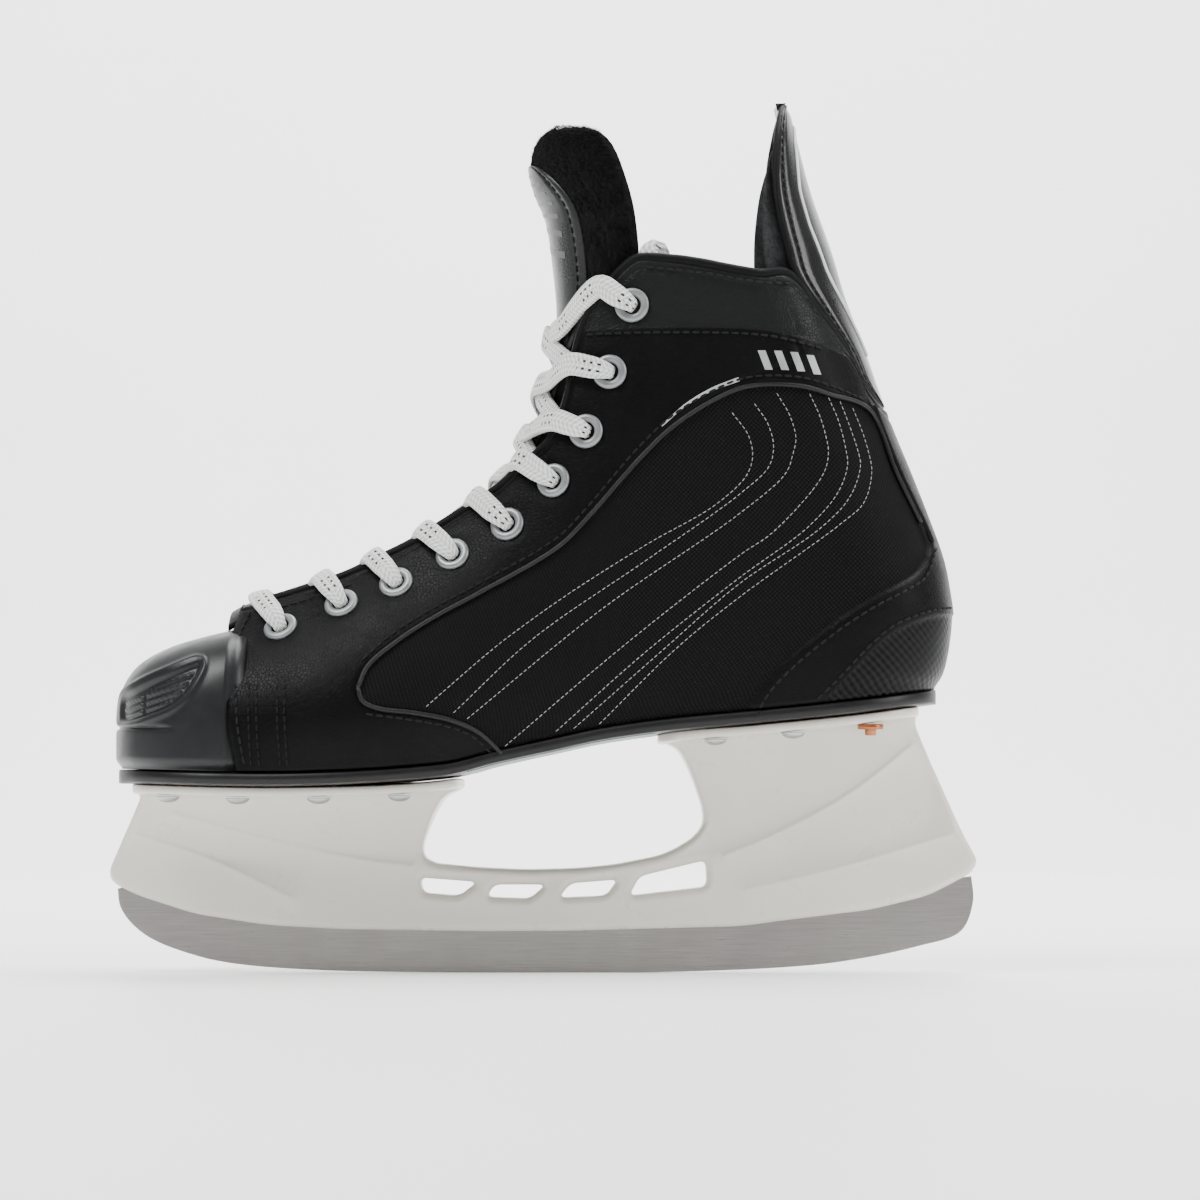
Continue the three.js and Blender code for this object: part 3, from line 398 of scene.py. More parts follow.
# ---------------------------------------------------------------- materials
class Shader:
    def __init__(self, name, colour, roughness, metallic=0.0, **more):
        self.material = bpy.data.materials.new(name)
        self.material.use_nodes = True
        self.tree = self.material.node_tree
        self.bsdf = self.tree.nodes["Principled BSDF"]
        self.set(self.bsdf, **{"Base Color": (*colour, 1), "Roughness": roughness, "Metallic": metallic})
        self.set(self.bsdf, **more)
        self.coords = self.tree.nodes.new("ShaderNodeTexCoord").outputs["Object"]

    def set(self, node, **values):
        for key, value in values.items():
            node.inputs[key].default_value = value

    def node(self, kind, links=None, settings=None, **values):
        node = self.tree.nodes.new(kind)
        for key, value in (settings or {}).items():
            setattr(node, key, value)
        self.set(node, **values)
        for key, socket in (links or {}).items():
            self.tree.links.new(socket, node.inputs[key])
        return node

    def noise(self, scale, detail=4.0, roughness=0.55, vector=None):
        return self.node("ShaderNodeTexNoise", {"Vector": vector or self.coords}, Scale=scale, Detail=detail,
                         Roughness=roughness).outputs["Fac"]

    def cells(self, scale, feature="F1", vector=None):
        return self.node("ShaderNodeTexVoronoi", {"Vector": vector or self.coords}, {"feature": feature},
                         Scale=scale).outputs["Distance"]

    def maths(self, operation, a, b=0.0, c=0.0):
        node = self.tree.nodes.new("ShaderNodeMath")
        node.operation = operation
        for socket, value in zip(node.inputs, (a, b, c)):
            if isinstance(value, (int, float)):
                socket.default_value = value
            else:
                self.tree.links.new(value, socket)
        return node.outputs[0]

    def remap(self, value, low, high, out_low=0.0, out_high=1.0):
        return self.node("ShaderNodeMapRange", {"Value": value}, **{"From Min": low, "From Max": high,
                         "To Min": out_low, "To Max": out_high}).outputs["Result"]

    def mix(self, factor, a, b):
        node = self.tree.nodes.new("ShaderNodeMix")
        node.data_type = "RGBA"
        for socket, value in ((node.inputs[0], factor), (node.inputs[6], a), (node.inputs[7], b)):
            if isinstance(value, tuple):
                socket.default_value = (*value, 1) if len(value) == 3 else value
            elif isinstance(value, float):
                socket.default_value = value
            else:
                self.tree.links.new(value, socket)
        return node.outputs[2]

    def blend(self, factor, a, b):
        """A number mixed between two numbers or sockets."""
        left = self.maths("MULTIPLY", self.maths("SUBTRACT", 1.0, factor), a)
        return self.maths("ADD", left, self.maths("MULTIPLY", factor, b))

    def read(self, name):
        return self.node("ShaderNodeAttribute", settings={"attribute_name": name}).outputs["Fac"]

    def mask(self, name, soft=0.12):
        return self.remap(self.read(name), -soft, soft)

    def axes(self):
        split = self.node("ShaderNodeSeparateXYZ", {"Vector": self.coords})
        return split.outputs[0], split.outputs[1], split.outputs[2]

    def to(self, key, socket):
        self.tree.links.new(socket, self.bsdf.inputs[key])

    def bump(self, height, strength=0.3, distance=0.0004):
        bump = self.node("ShaderNodeBump", {"Height": height}, Strength=strength, Distance=distance)
        self.to("Normal", bump.outputs["Normal"])


def grain(s, vector=None):
    """Fine pebbled leather: small creased cells over a softer swell."""
    creases = s.remap(s.cells(900, "DISTANCE_TO_EDGE", vector), 0.0, 0.12)
    return s.maths("ADD", creases, s.maths("MULTIPLY", s.noise(120, 5, 0.6, vector), 0.9))


def leather(name, colour, roughness, strength=0.18, shine=0.1):
    s = Shader(name, colour, roughness, **{"Specular IOR Level": shine})
    wear = s.noise(26, 5)
    s.to("Base Color", s.mix(s.remap(wear, 0.35, 0.75), colour, tuple(1.35 * c + 0.002 for c in colour)))
    s.to("Roughness", s.remap(s.noise(55, 6), 0.3, 0.75, roughness - 0.07, roughness + 0.08))
    s.bump(grain(s), strength, 0.0003)
    return s.material


def upper_material():
    """Leather, dotted nylon, glossy band and carbon patch, told apart by distances kept on the mesh."""
    s = Shader("upper", (0.006, 0.006, 0.0065), 0.4, **{"Specular IOR Level": 0.08})
    x, _, z = s.axes()
    arc = s.read("arc")
    panel, band, patch = s.mask("panel"), s.mask("band"), s.mask("patch")
    pitch = 2 * math.pi / 1.55
    dots = s.maths("MULTIPLY", s.maths("SINE", s.maths("MULTIPLY", arc, pitch)),
                   s.maths("SINE", s.maths("MULTIPLY", z, pitch / MM)))
    weave = s.remap(dots, -0.35, 0.9)
    slant = s.maths("ADD", s.maths("MULTIPLY", arc, 0.7), s.maths("MULTIPLY", z, 1 / MM))
    twill = s.maths("SINE", s.maths("MULTIPLY", slant, 2 * math.pi / 2.2))
    other = s.maths("SINE", s.maths("MULTIPLY", s.maths("SUBTRACT", arc, s.maths("MULTIPLY", z, 1 / MM)),
                                    2 * math.pi / 4.4))
    carbon = s.maths("ADD", s.remap(twill, -0.4, 0.4), s.maths("MULTIPLY", other, 0.25))
    wear = s.remap(s.noise(24, 5), 0.35, 0.75)
    skin = s.mix(wear, (0.0018, 0.0019, 0.0019), (0.0038, 0.0039, 0.0040))
    cloth = s.mix(weave, (0.0004, 0.0004, 0.0004), (0.0085, 0.0086, 0.0085))
    tow = s.mix(s.remap(carbon, 0.0, 1.0), (0.0012, 0.0012, 0.0013), (0.0095, 0.0097, 0.0098))
    colour = s.mix(patch, s.mix(band, s.mix(panel, skin, cloth), (0.011, 0.0115, 0.0115)), tow)
    s.to("Base Color", colour)
    smudge = s.remap(s.noise(60, 6), 0.3, 0.75, -0.06, 0.08)
    rough = s.blend(patch, s.blend(band, s.blend(panel, 0.36, 0.62), 0.2), s.remap(carbon, 0, 1, 0.3, 0.42))
    s.to("Roughness", s.maths("ADD", rough, smudge))
    pebbles, threads = s.maths("MULTIPLY", grain(s), 0.55), s.maths("MULTIPLY", weave, 1.6)
    height = s.blend(patch, s.blend(panel, pebbles, threads), s.maths("MULTIPLY", carbon, 0.8))
    s.bump(height, 0.34, 0.0003)
    return s.material


def felt_material(name, colour):
    soft = {"Sheen Weight": 0.03, "Sheen Roughness": 0.5, "Specular IOR Level": 0.05}
    s = Shader(name, colour, 0.95, **soft)
    fuzz = s.noise(900, 6, 0.75)
    clumps = s.noise(160, 5, 0.6)
    lift = s.remap(s.maths("MULTIPLY", fuzz, clumps), 0.12, 0.42)
    s.to("Base Color", s.mix(lift, tuple(0.45 * c for c in colour), tuple(1.9 * c for c in colour)))
    s.bump(s.maths("ADD", fuzz, clumps), 0.9, 0.0012)
    return s.material


def lace_material():
    """White herringbone braid with black tracer flecks down its middle."""
    s = Shader("lace", (0.85, 0.85, 0.83), 0.85, **{"Sheen Weight": 0.3, "Specular IOR Level": 0.25})
    run, across = s.read("run"), s.read("across")
    lean = s.maths("ABSOLUTE", across)
    chevron = s.maths("ADD", run, s.maths("MULTIPLY", lean, 2.2))
    ribs = s.maths("SINE", s.maths("MULTIPLY", chevron, 2 * math.pi / 1.5))
    split = s.maths("SINE", s.maths("MULTIPLY", across, 2 * math.pi * 2.2))
    knit = s.remap(s.maths("ADD", ribs, s.maths("MULTIPLY", split, 0.6)), -1.3, 1.3)
    white = s.mix(knit, (0.5, 0.5, 0.49), (0.9, 0.9, 0.885))
    fleck = s.remap(s.maths("SINE", s.maths("MULTIPLY", run, 2 * math.pi / 2.4)), 0.1, 0.35)
    group = s.remap(s.maths("SINE", s.maths("MULTIPLY", run, 2 * math.pi / 17.0)), 0.1, 0.2)
    lane = s.remap(s.maths("ABSOLUTE", s.maths("SUBTRACT", lean, 0.34)), 0.13, 0.09)
    tracer = s.maths("MULTIPLY", s.maths("MULTIPLY", fleck, group), lane)
    s.to("Base Color", s.mix(tracer, white, (0.01, 0.01, 0.01)))
    s.bump(s.maths("ADD", knit, s.maths("MULTIPLY", s.noise(1500, 4), 0.4)), 0.7, 0.0006)
    return s.material


def holder_material():
    depth = {"Subsurface Weight": 0.08, "Subsurface Scale": 0.006, "Coat Weight": 0.15}
    s = Shader("holder_plastic", (0.74, 0.71, 0.65), 0.32, **depth)
    tint = s.remap(s.noise(14, 3), 0.35, 0.7)
    s.to("Base Color", s.mix(tint, (0.62, 0.59, 0.525), (0.68, 0.65, 0.59)))
    s.to("Roughness", s.remap(s.noise(90, 6), 0.3, 0.75, 0.25, 0.4))
    s.bump(s.noise(700, 4), 0.05, 0.0002)
    return s.material


def steel_material():
    """Ground steel: fine lines along the runner, with a faint heat tint."""
    s = Shader("steel", (0.5, 0.5, 0.5), 0.3, 1.0)
    stretch = s.node("ShaderNodeMapping", {"Vector": s.coords}, Scale=(0.02, 1.0, 1.0)).outputs["Vector"]
    lines = s.noise(2600, 3, 0.7, stretch)
    patches = s.remap(s.noise(22, 4), 0.42, 0.75)
    metal = s.mix(patches, (0.235, 0.225, 0.21), (0.215, 0.19, 0.2))
    s.to("Base Color", s.mix(s.remap(lines, 0.3, 0.8), metal, (0.32, 0.31, 0.295)))
    s.to("Roughness", s.remap(s.maths("ADD", lines, s.noise(90, 5)), 0.6, 1.4, 0.24, 0.44))
    s.bump(lines, 0.18, 0.0002)
    return s.material


def metal_material(name, colour, roughness, metallic=1.0):
    s = Shader(name, colour, roughness, metallic)
    spots = s.noise(300, 5)
    s.to("Base Color", s.mix(s.remap(spots, 0.35, 0.75), tuple(0.8 * c for c in colour), colour))
    s.to("Roughness", s.remap(spots, 0.3, 0.7, roughness - 0.08, roughness + 0.12))
    s.bump(s.noise(1800, 3), 0.08, 0.0002)
    return s.material


def plastic_material(name, colour, roughness):
    s = Shader(name, colour, roughness, **{"Specular IOR Level": 0.3})
    s.to("Base Color", s.mix(s.remap(s.noise(35, 5), 0.35, 0.7), colour, tuple(1.25 * c for c in colour)))
    s.to("Roughness", s.remap(s.noise(140, 6), 0.3, 0.7, roughness - 0.05, roughness + 0.07))
    s.bump(s.noise(2200, 4, 0.7), 0.14, 0.0002)
    return s.material


def thread_material(name, colour):
    s = Shader(name, colour, 0.7, **{"Specular IOR Level": 0.15})
    twist = s.noise(3000, 2)
    s.to("Base Color", s.mix(s.remap(twist, 0.3, 0.7), tuple(0.6 * c for c in colour), colour))
    s.bump(twist, 0.5, 0.0002)
    return s.material


UPPER = upper_material()
LEATHER = leather("leather", (0.0028, 0.0028, 0.003), 0.38)
VINYL = leather("vinyl", (0.004, 0.0041, 0.0043), 0.2, 0.1, 0.4)
TRIM = leather("trim", (0.0025, 0.0025, 0.0028), 0.5, 0.25, 0.1)
PIPING = leather("grey_piping", (0.006, 0.006, 0.0065), 0.35, 0.25, 0.25)
SILVER = metal_material("silver_print", (0.42, 0.425, 0.43), 0.4, 0.35)
GREY_PRINT = metal_material("grey_print", (0.09, 0.092, 0.095), 0.4, 0.3)
FELT = felt_material("felt", (0.0045, 0.0046, 0.0045))
GREY_FELT = felt_material("grey_felt", (0.03, 0.031, 0.032))
GREY_VINYL = leather("grey_vinyl", (0.011, 0.0115, 0.012), 0.28, 0.15, 0.35)
TOE_PLASTIC = plastic_material("toe_plastic", (0.009, 0.0095, 0.0102), 0.33)
SOLE_PLASTIC = plastic_material("sole_plastic", (0.005, 0.005, 0.0052), 0.4)
TEAL = plastic_material("teal_underside", (0.03, 0.12, 0.11), 0.4)
BOARD = plastic_material("board", (0.12, 0.09, 0.06), 0.8)
HOLDER = holder_material()
STEEL = steel_material()
RIVET_STEEL = metal_material("rivet_steel", (0.5, 0.51, 0.52), 0.32)
COPPER = metal_material("copper", (0.46, 0.17, 0.08), 0.35)
EYELET_METAL = metal_material("eyelet_metal", (0.27, 0.28, 0.285), 0.36, 0.55)
LACE = lace_material()
THREAD = thread_material("black_thread", (0.008, 0.008, 0.009))
GREY_THREAD = thread_material("grey_thread", (0.012, 0.012, 0.013))
WHITE_THREAD = thread_material("white_thread", (0.42, 0.43, 0.44))
WHITE_TRIM = plastic_material("white_piping", (0.6, 0.61, 0.62), 0.35)


# ---------------------------------------------------------------- the boot's form
def half_width(x, z, offset=0.0):
    """Half the boot's width at a place in its side view."""
    low, high = along(SOLE_TOP, x), along(TOP_LINE, x)
    f = np.clip((z - low) / (high - low), 0, 1.5)
    bulge, sole, top = along(BULGE_HALF, x), along(SOLE_HALF, x), along(TOP_HALF, x)
    rise = sole + (bulge - sole) * np.sin(np.pi / 2 * np.minimum(f / BULGE_AT, 1))
    fall = top + (bulge - top) * np.cos(np.pi / 2 * (f - BULGE_AT) / (1 - BULGE_AT))
    rear = along(REAR, z) + offset
    back = np.clip((x - (rear - HEEL_RADIUS)) / HEEL_RADIUS, 0, 1)
    return (np.where(f < BULGE_AT, rise, fall) + offset) * np.sqrt(1 - back * back)


def boot_points(t, f, offset=0.0):
    """Points of the boot: t runs from one front edge over the heel to the other, f from sole to top."""
    reach = np.sin(np.pi / 2 * (1 - np.abs(t)))
    x = TOE_CENTRE + 244 * reach
    for _ in range(12):
        low = along(SOLE_TOP, x) + 0.3
        z = low + f * (along(TOP_LINE, x) - low)
        front = along(FRONT_EDGE, z)
        x = front + (along(REAR, z) + offset - front) * reach
    return np.stack([x, np.sign(t) * half_width(x, z, offset), z], axis=-1)


def on_side(line, side, lift=0.0):
    """A line in the side view laid on the boot's skin."""
    line = np.asarray(line, float)
    y = side * half_width(line[:, 0], line[:, 1], lift)
    return np.stack([line[:, 0], y, line[:, 1]], axis=-1)


def normal_at(side, x, z):
    dx = (half_width(x + 0.5, z) - half_width(x - 0.5, z))
    dz = (half_width(x, z + 0.5) - half_width(x, z - 0.5))
    n = np.array([-float(dx), side, -float(dz)])
    return n / np.linalg.norm(n)


def upper_reach(t):
    """How far up each column of the upper goes, as a height fraction."""
    low, high = np.zeros_like(t), np.full_like(t, 1.2)
    for _ in range(24):
        middle = (low + high) / 2
        p = boot_points(t, middle)
        over = p[..., 2] > along(UPPER_TOP, p[..., 0])
        high, low = np.where(over, middle, high), np.where(over, low, middle)
    return low


def build_upper():
    """Both sides and the heel in one skin, from the sole to the laces, collar and guard."""
    columns, rows = 420, 150
    t = np.linspace(-1, 1, columns)
    t[np.abs(t) < 1e-6] = 1e-6
    top = upper_reach(t)
    v = np.linspace(0, 1, rows) ** 0.92
    tt, ff = np.broadcast_to(t[:, None], (columns, rows)), top[:, None] * v[None, :]
    base = boot_points(tt, ff)
    flat = base.reshape(-1, 3)[:, [0, 2]]
    panel_line = curve(PANEL, 2.0, closed=True)
    heel_zone = np.vstack([curve(HEEL, 3.0), [[69, 60], [160, 60], [160, 193]]])
    band_zone = np.vstack([curve(BAND_SEAM, 3.0), [[130, 260], [0, 260]]])
    patch_zone = np.vstack([[[170, 122.5]], curve(PATCH, 2.0), [[91, 60], [170, 60]]])
    panel, heel = signed(flat, panel_line), signed(flat, heel_zone)
    band, patch = signed(flat, band_zone), signed(flat, patch_zone)
    tip = to_line(flat, curve(TIP, 2.0))
    panel = np.minimum(panel, -heel)
    offset = -0.75 * smoothstep(-0.5, 0.7, panel) - 0.35 * smoothstep(-0.4, 0.4, band)
    offset += 0.55 * smoothstep(-0.5, 0.6, heel) - 0.5 * smoothstep(-0.4, 0.4, patch)
    offset -= 0.35 * np.exp(-(tip / 0.6) ** 2) + 0.45 * np.exp(-(panel / 0.5) ** 2)
    edge = (top[:, None] * (1 - v[None, :]) * 140).reshape(-1)
    offset -= 1.4 * (1 - smoothstep(0, 2.2, edge))
    offset -= 0.35 * np.exp(-((edge - 4.6) / 1.0) ** 2)
    for side in SIDES.values():
        for place in EYELETS:
            centre = np.array([place[0], side * float(half_width(*map(np.array, place))), place[1]])
            near = np.linalg.norm(base.reshape(-1, 3) - centre, axis=1)
            offset -= 0.5 * (1 - smoothstep(4.0, 8.5, near))
    outer = boot_points(tt, ff, offset.reshape(columns, rows))
    inner = boot_points(tt, ff, -4.0)
    obj = shell("upper", outer, inner, UPPER)
    steps = np.linalg.norm(np.diff(base, axis=0), axis=2)
    arc = np.concatenate([np.zeros((1, rows)), np.cumsum(steps, axis=0)])
    arc -= arc[columns // 2]
    for name, values in (("panel", panel), ("band", band), ("patch", patch), ("arc", arc.reshape(-1))):
        attribute(obj, name, np.concatenate([values, values]))
    nodes = ["heel_overlay", "heel_patch"]
    for name in SIDES:
        nodes += [f"quarter_{name}", f"facing_{name}", f"side_panel_{name}", f"collar_band_{name}"]
    finish_piece(obj, "boot", nodes)
    return top, t


def finish_piece(obj, body, nodes=()):
    if body:
        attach(obj, body)
    if nodes:
        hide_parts(*nodes)
    return obj


def build_trim(top, t):
    """Binding round the opening, piping, seams and decorative stitches."""
    rim = boot_points(t, top, -1.6)
    finish_piece(sweep("opening_binding", rim[2:-2], 2.9, 3.4, TRIM, sides=10), "boot")
    stitches, white, fine = [], [], []
    for name, side in SIDES.items():
        border = curve(PANEL[:15] + [[128.5, 153.5]], 1.5)
        line = on_side(border, side, -0.1)
        finish_piece(sweep(f"panel_piping_{name}", line, 1.7, 1.7, PIPING, sides=8), "boot")
        lower = curve([PANEL[0]] + PANEL[:25:-1], 1.5)
        line = on_side(lower, side, -0.1)
        finish_piece(sweep(f"panel_piping_low_{name}", line, 1.7, 1.7, PIPING, sides=8), "boot")
        back = curve([[112.6, 193.5], [121, 171.5], [130, 153], [132.6, 147]], 1.5)
        finish_piece(sweep(f"back_piping_{name}", on_side(back, side, 0.2), 2.0, 2.0, TRIM, sides=8), "boot")
        seam = curve(BAND_SEAM[:-2], 2.0)
        seam = seam[seam[:, 0] > 15]
        stitches.append(on_side(seam - [0, 1.6], side, 0.25))
        stitches.append(on_side(curve(PANEL_STITCH, 2), side, 0.2))
        stitches.append(on_side(curve(np.array(HEEL[3:]) + [1.6, -1.8], 2), side, 0.75))
        stitches.append(on_side(curve(np.array(PATCH[1:]) + [0, 2.2], 2), side, 0.7))
        stitches.append(on_side(curve(TOE_STITCH, 2), side, 0.2))
        for x in (-96.5, -93.8, -86.8, -84.4):
            fine.append(on_side(curve([[x, 71.5], [x - 0.8, 85], [x - 1.2, 97]], 2), side, 0.15))
        stitches.append(on_side(curve([[36, 238.3], [55, 236], [74, 232.9], [82.5, 233]], 2), side, 0.0))
        stitches.append(on_side(curve([[-94, 123.2], [-81.5, 126.6], [-66, 131.6]], 2), side, 0.1))
        low = curve([[-57, 87.5], [-42.5, 85.6], [-30, 83.2], [-22.5, 79.8], [-16, 73.5]], 2)
        stitches.append(on_side(low, side, 0.2))
        for line in DASHES:
            white.append(on_side(curve(line, 1.5), side, -0.45))
    finish_piece(beads("stitching", stitches, 3.3, 2.5, 0.42, GREY_THREAD), "boot")
    finish_piece(beads("overlay_stitching", fine, 3.0, 2.2, 0.38, THREAD), "boot")
    finish_piece(beads("panel_stitching", white, 1.9, 1.25, 0.13, WHITE_THREAD), "boot")


def build_bars():
    """Four equal silver bars in a plain row above the panel, and a thin silver line before them."""
    for name, side in SIDES.items():
        points, faces = [], []
        width, height = 2.6, 6.5
        for x in (76, 81.5, 87, 92.5):
            base = float(along([[55, 196.4], [69, 201.6], [86.5, 201.9], [100, 199.6]], x)) + 1.1
            n = 6
            grid = []
            for i in range(n + 1):
                for j in range(n + 1):
                    u, v = i / n, j / n
                    grid.append([x + (u - 0.5) * width - 0.38 * height * v, base + height * v])
            start = len(points)
            points += on_side(grid, side, 0.14).tolist()
            faces += (grid_faces(n + 1, n + 1) + start).tolist()
        finish_piece(make(f"silver_bars_{name}", points, faces, SILVER), "boot")
        arc = curve([[40, 184.5], [48, 191.5], [57, 196.8], [66, 200.2]], 1.2)
        widths, up = np.linspace(0.6, 1.5, len(arc)), np.tile([0, side, 0.0], (len(arc), 1))
        line = sweep(f"silver_line_{name}", on_side(arc, side, 0.0), widths, 0.5, SILVER, up=up, sides=8)
        finish_piece(line, "boot")


def build_lining():
    """Padded lining round the ankle."""
    t = np.linspace(-0.72, 0.72, 160)
    t[np.abs(t) < 1e-6] = 1e-6
    p = boot_points(t, np.ones_like(t))
    reach = upper_reach(t)
    guard = np.clip((np.abs(p[:, 0]) - 80) / 20, 0, 1)
    top = np.where(p[:, 0] > 76, reach + guard * (1.0 - reach), reach) - 0.012
    v = np.linspace(0, 1, 90)
    tt, ff = np.broadcast_to(t[:, None], (160, 90)), 0.07 + (top[:, None] - 0.07) * v[None, :]
    roll = 2.4 * smoothstep(0.93, 1.0, v)[None, :]
    swell = 1.5 * np.sin(np.pi * v)[None, :] * np.sin(np.pi * np.linspace(0, 1, 160))[:, None]
    outer = boot_points(tt, ff, -4.2 - roll * 0.4)
    inner = boot_points(tt, ff, -9.6 + roll - swell)
    obj = shell("ankle_lining_soft", outer, inner, GREY_FELT)
    finish_piece(obj, "boot", ["ankle_lining"])


# ---------------------------------------------------------------- toe


def toe_points(turn, lift, inset):
    across = np.sin(turn)
    power = 0.27 + 0.33 * across * across
    out, rise = np.maximum(np.cos(lift), 0) ** power, np.sin(lift) ** power
    x = TOE_CENTRE - 1.5 - (40.6 + 0.6 - inset) * np.maximum(np.cos(turn), 0) ** 0.92 * out
    base = along(SOLE_TOP, x) + 0.2
    z = base + (along(TOE_CROWN, x) - inset * 0.9 - base) * rise
    return np.stack([x, (45.6 - inset) * across * out, z], axis=-1)


def build_toe():
    """Toe cap with its sunk, ribbed vents and the raised band above the sole."""
    columns, rows = 320, 190
    turn = (np.linspace(0, 1, columns) - 0.5) * (np.pi - 0.004)
    up, down = np.linspace(0.0005, 1, rows) ** 2.6, np.linspace(1, 0, rows) ** 2.6
    lift = np.pi / 2 * up / (up + down)
    tt, ll = np.broadcast_to(turn[:, None], (columns, rows)), np.broadcast_to(lift[None, :], (columns, rows))
    base = toe_points(tt, ll, 0.0)
    flat = base.reshape(-1, 3)[:, [0, 2]]
    z, x = base[..., 2].reshape(-1), base[..., 0].reshape(-1)
    vent = signed(flat, curve(VENT, 1.2, closed=True))
    inset = 1.5 * smoothstep(-0.2, 1.3, vent)
    ribs = 0.5 + 0.5 * np.sin(2 * np.pi * (z - 0.28 * (x + 130)) / 2.5)
    field = smoothstep(1.5, 2.4, vent) * smoothstep(0.5, 1.2, np.abs(x + 134.6))
    inset -= 0.95 * smoothstep(0.35, 0.75, ribs) * field
    inset -= 0.55 * np.exp(-((vent + 1.6) / 0.9) ** 2)
    sole = along(SOLE_TOP, x)
    inset += 0.9 * np.exp(-((z - sole - 14.2) / 0.55) ** 2) * smoothstep(-122, -130, x)
    inset -= 0.4 * (1 - smoothstep(12.5, 14.2, z - sole)) * smoothstep(-120, -132, x)
    inset += 2.2 * (1 - smoothstep(0.0, 5.0, z - sole)) ** 2
    outer = run_under(toe_points(tt, ll, inset.reshape(columns, rows)))
    obj = shell("toe_cap_shell", outer, run_under(toe_points(tt, ll, 3.0)), TOE_PLASTIC)
    finish_piece(obj, "boot", ["toe_cap"])


def run_under(grid):
    """The toe cap's two rear edges carried on under the leather behind them."""
    first, last = [], []
    for step, shrink in ((0.8, 0.99), (2.5, 0.975), (6.0, 0.96)):
        for rows, edge in ((first, grid[0]), (last, grid[-1])):
            moved = edge.copy()
            moved[:, 0] += step
            moved[:, 1] *= shrink
            rows.append(moved)
    return np.concatenate([np.array(first[::-1]), grid, np.array(last)])


def build_throat():
    columns, rows = 60, 16
    u, v = np.linspace(-1, 1, columns)[:, None], np.linspace(0, 1, rows)[None, :]
    x = -107.2 + 11 * v + 0 * u
    half = along(TOP_HALF, x) + 3.0
    def surface(lift):
        z = along(TOP_LINE, x) + 2.6 + lift - 6.0 * np.abs(u) ** 2.2 - 1.2 * (1 - v) ** 3
        return np.stack([x, half * u + 0 * v, z], axis=-1)
    obj = shell("throat_leather", surface(0.3), surface(-1.6), LEATHER)
    finish_piece(obj, "boot", ["throat_strap"])
    seam = surface(0.35)[:, 5]
    finish_piece(beads("throat_stitching", [seam[4:-4]], 3.2, 2.4, 0.4, GREY_THREAD), "boot")


# ---------------------------------------------------------------- guard
def guard_surface(spread, z, offset, front_table, lean=1.0):
    rear = along(REAR, z) + offset
    front = np.minimum(along(front_table, z), rear - 0.4)
    reach = np.minimum((rear - front) / HEEL_RADIUS, 1)
    turn = np.arccos(1 - reach) * spread
    y = HEEL_RADIUS * 1.03 * np.sin(turn) * lean
    return np.stack([rear - HEEL_RADIUS * (1 - np.cos(turn)), y, z], axis=-1)


def build_guard():
    columns, rows = 120, 150
    spread = np.broadcast_to(np.linspace(-1, 1, columns)[:, None], (columns, rows))
    z = np.broadcast_to((194.7 + 105.8 * np.linspace(0, 1, rows) ** 0.96)[None, :], (columns, rows))
    rim = np.abs(spread)
    soft = 1.1 * smoothstep(0.9, 1.0, rim) + 1.1 * smoothstep(0.95, 1.0, (z - 194.7) / 105.8)
    ridge = 0.7 * np.exp(-((rim - 0.86) / 0.05) ** 2)
    outer = guard_surface(spread, z, 0.4 - soft - ridge, GUARD_EDGE)
    inner = guard_surface(spread, z, -4.0, GUARD_EDGE)
    obj = shell("tendon_guard_shell", outer, inner, VINYL)
    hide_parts("guard_base", "tendon_guard")
    bend_guard(obj)
    line = np.linspace(0, 1, 90)
    for name, side in SIDES.items():
        zz = 212 + 80 * line
        place = np.interp(zz, [212, 225, 240, 255, 268, 285, 292], [0.3, 0.42, 0.55, 0.62, 0.62, 0.5, 0.3])
        piping = guard_surface(side * place, zz, 0.5, GUARD_EDGE)
        bend_guard(sweep(f"guard_piping_{name}", piping, 1.3, 1.2, WHITE_TRIM, sides=8))
        edge = guard_surface(side * np.full_like(zz, 1.0), 196 + 104.2 * line, -1.6, GUARD_EDGE)
        bend_guard(sweep(f"guard_binding_{name}", edge, 2.8, 3.0, TRIM, sides=8))
        row = guard_surface(side * np.full_like(zz, 0.87), 199 + 94 * line, -0.15, GUARD_EDGE)
        bend_guard(beads(f"guard_stitching_{name}", [row], 3.3, 2.5, 0.42, GREY_THREAD))
    build_guard_pad()


def bend_guard(obj):
    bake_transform(obj)


def build_guard_pad():
    table = [[228, 80], [240, 75.6], [255, 74.6], [270, 75.8], [279, 77.8], [284.5, 80]]
    columns, rows = 90, 80
    spread = np.broadcast_to(np.linspace(-1, 1, columns)[:, None], (columns, rows))
    z = np.broadcast_to((230 + 54.5 * np.linspace(0, 1, rows))[None, :], (columns, rows))
    swell = np.sqrt(np.clip(1 - np.abs(spread) ** 4, 0, 1))
    swell = swell * np.sqrt(np.clip(1 - ((z - 230) / 54.6) ** 6, 0, 1))
    outer = guard_surface(spread, z, -4.3, table, 0.96)
    inner = guard_surface(spread, z, -5.0 - 4.5 * swell, table, 0.96)
    inner[..., 0] = np.minimum(inner[..., 0], outer[..., 0] - 0.4)
    obj = shell("guard_pad_felt", outer, inner, GREY_FELT)
    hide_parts("guard_pad")
    bend_guard(obj)


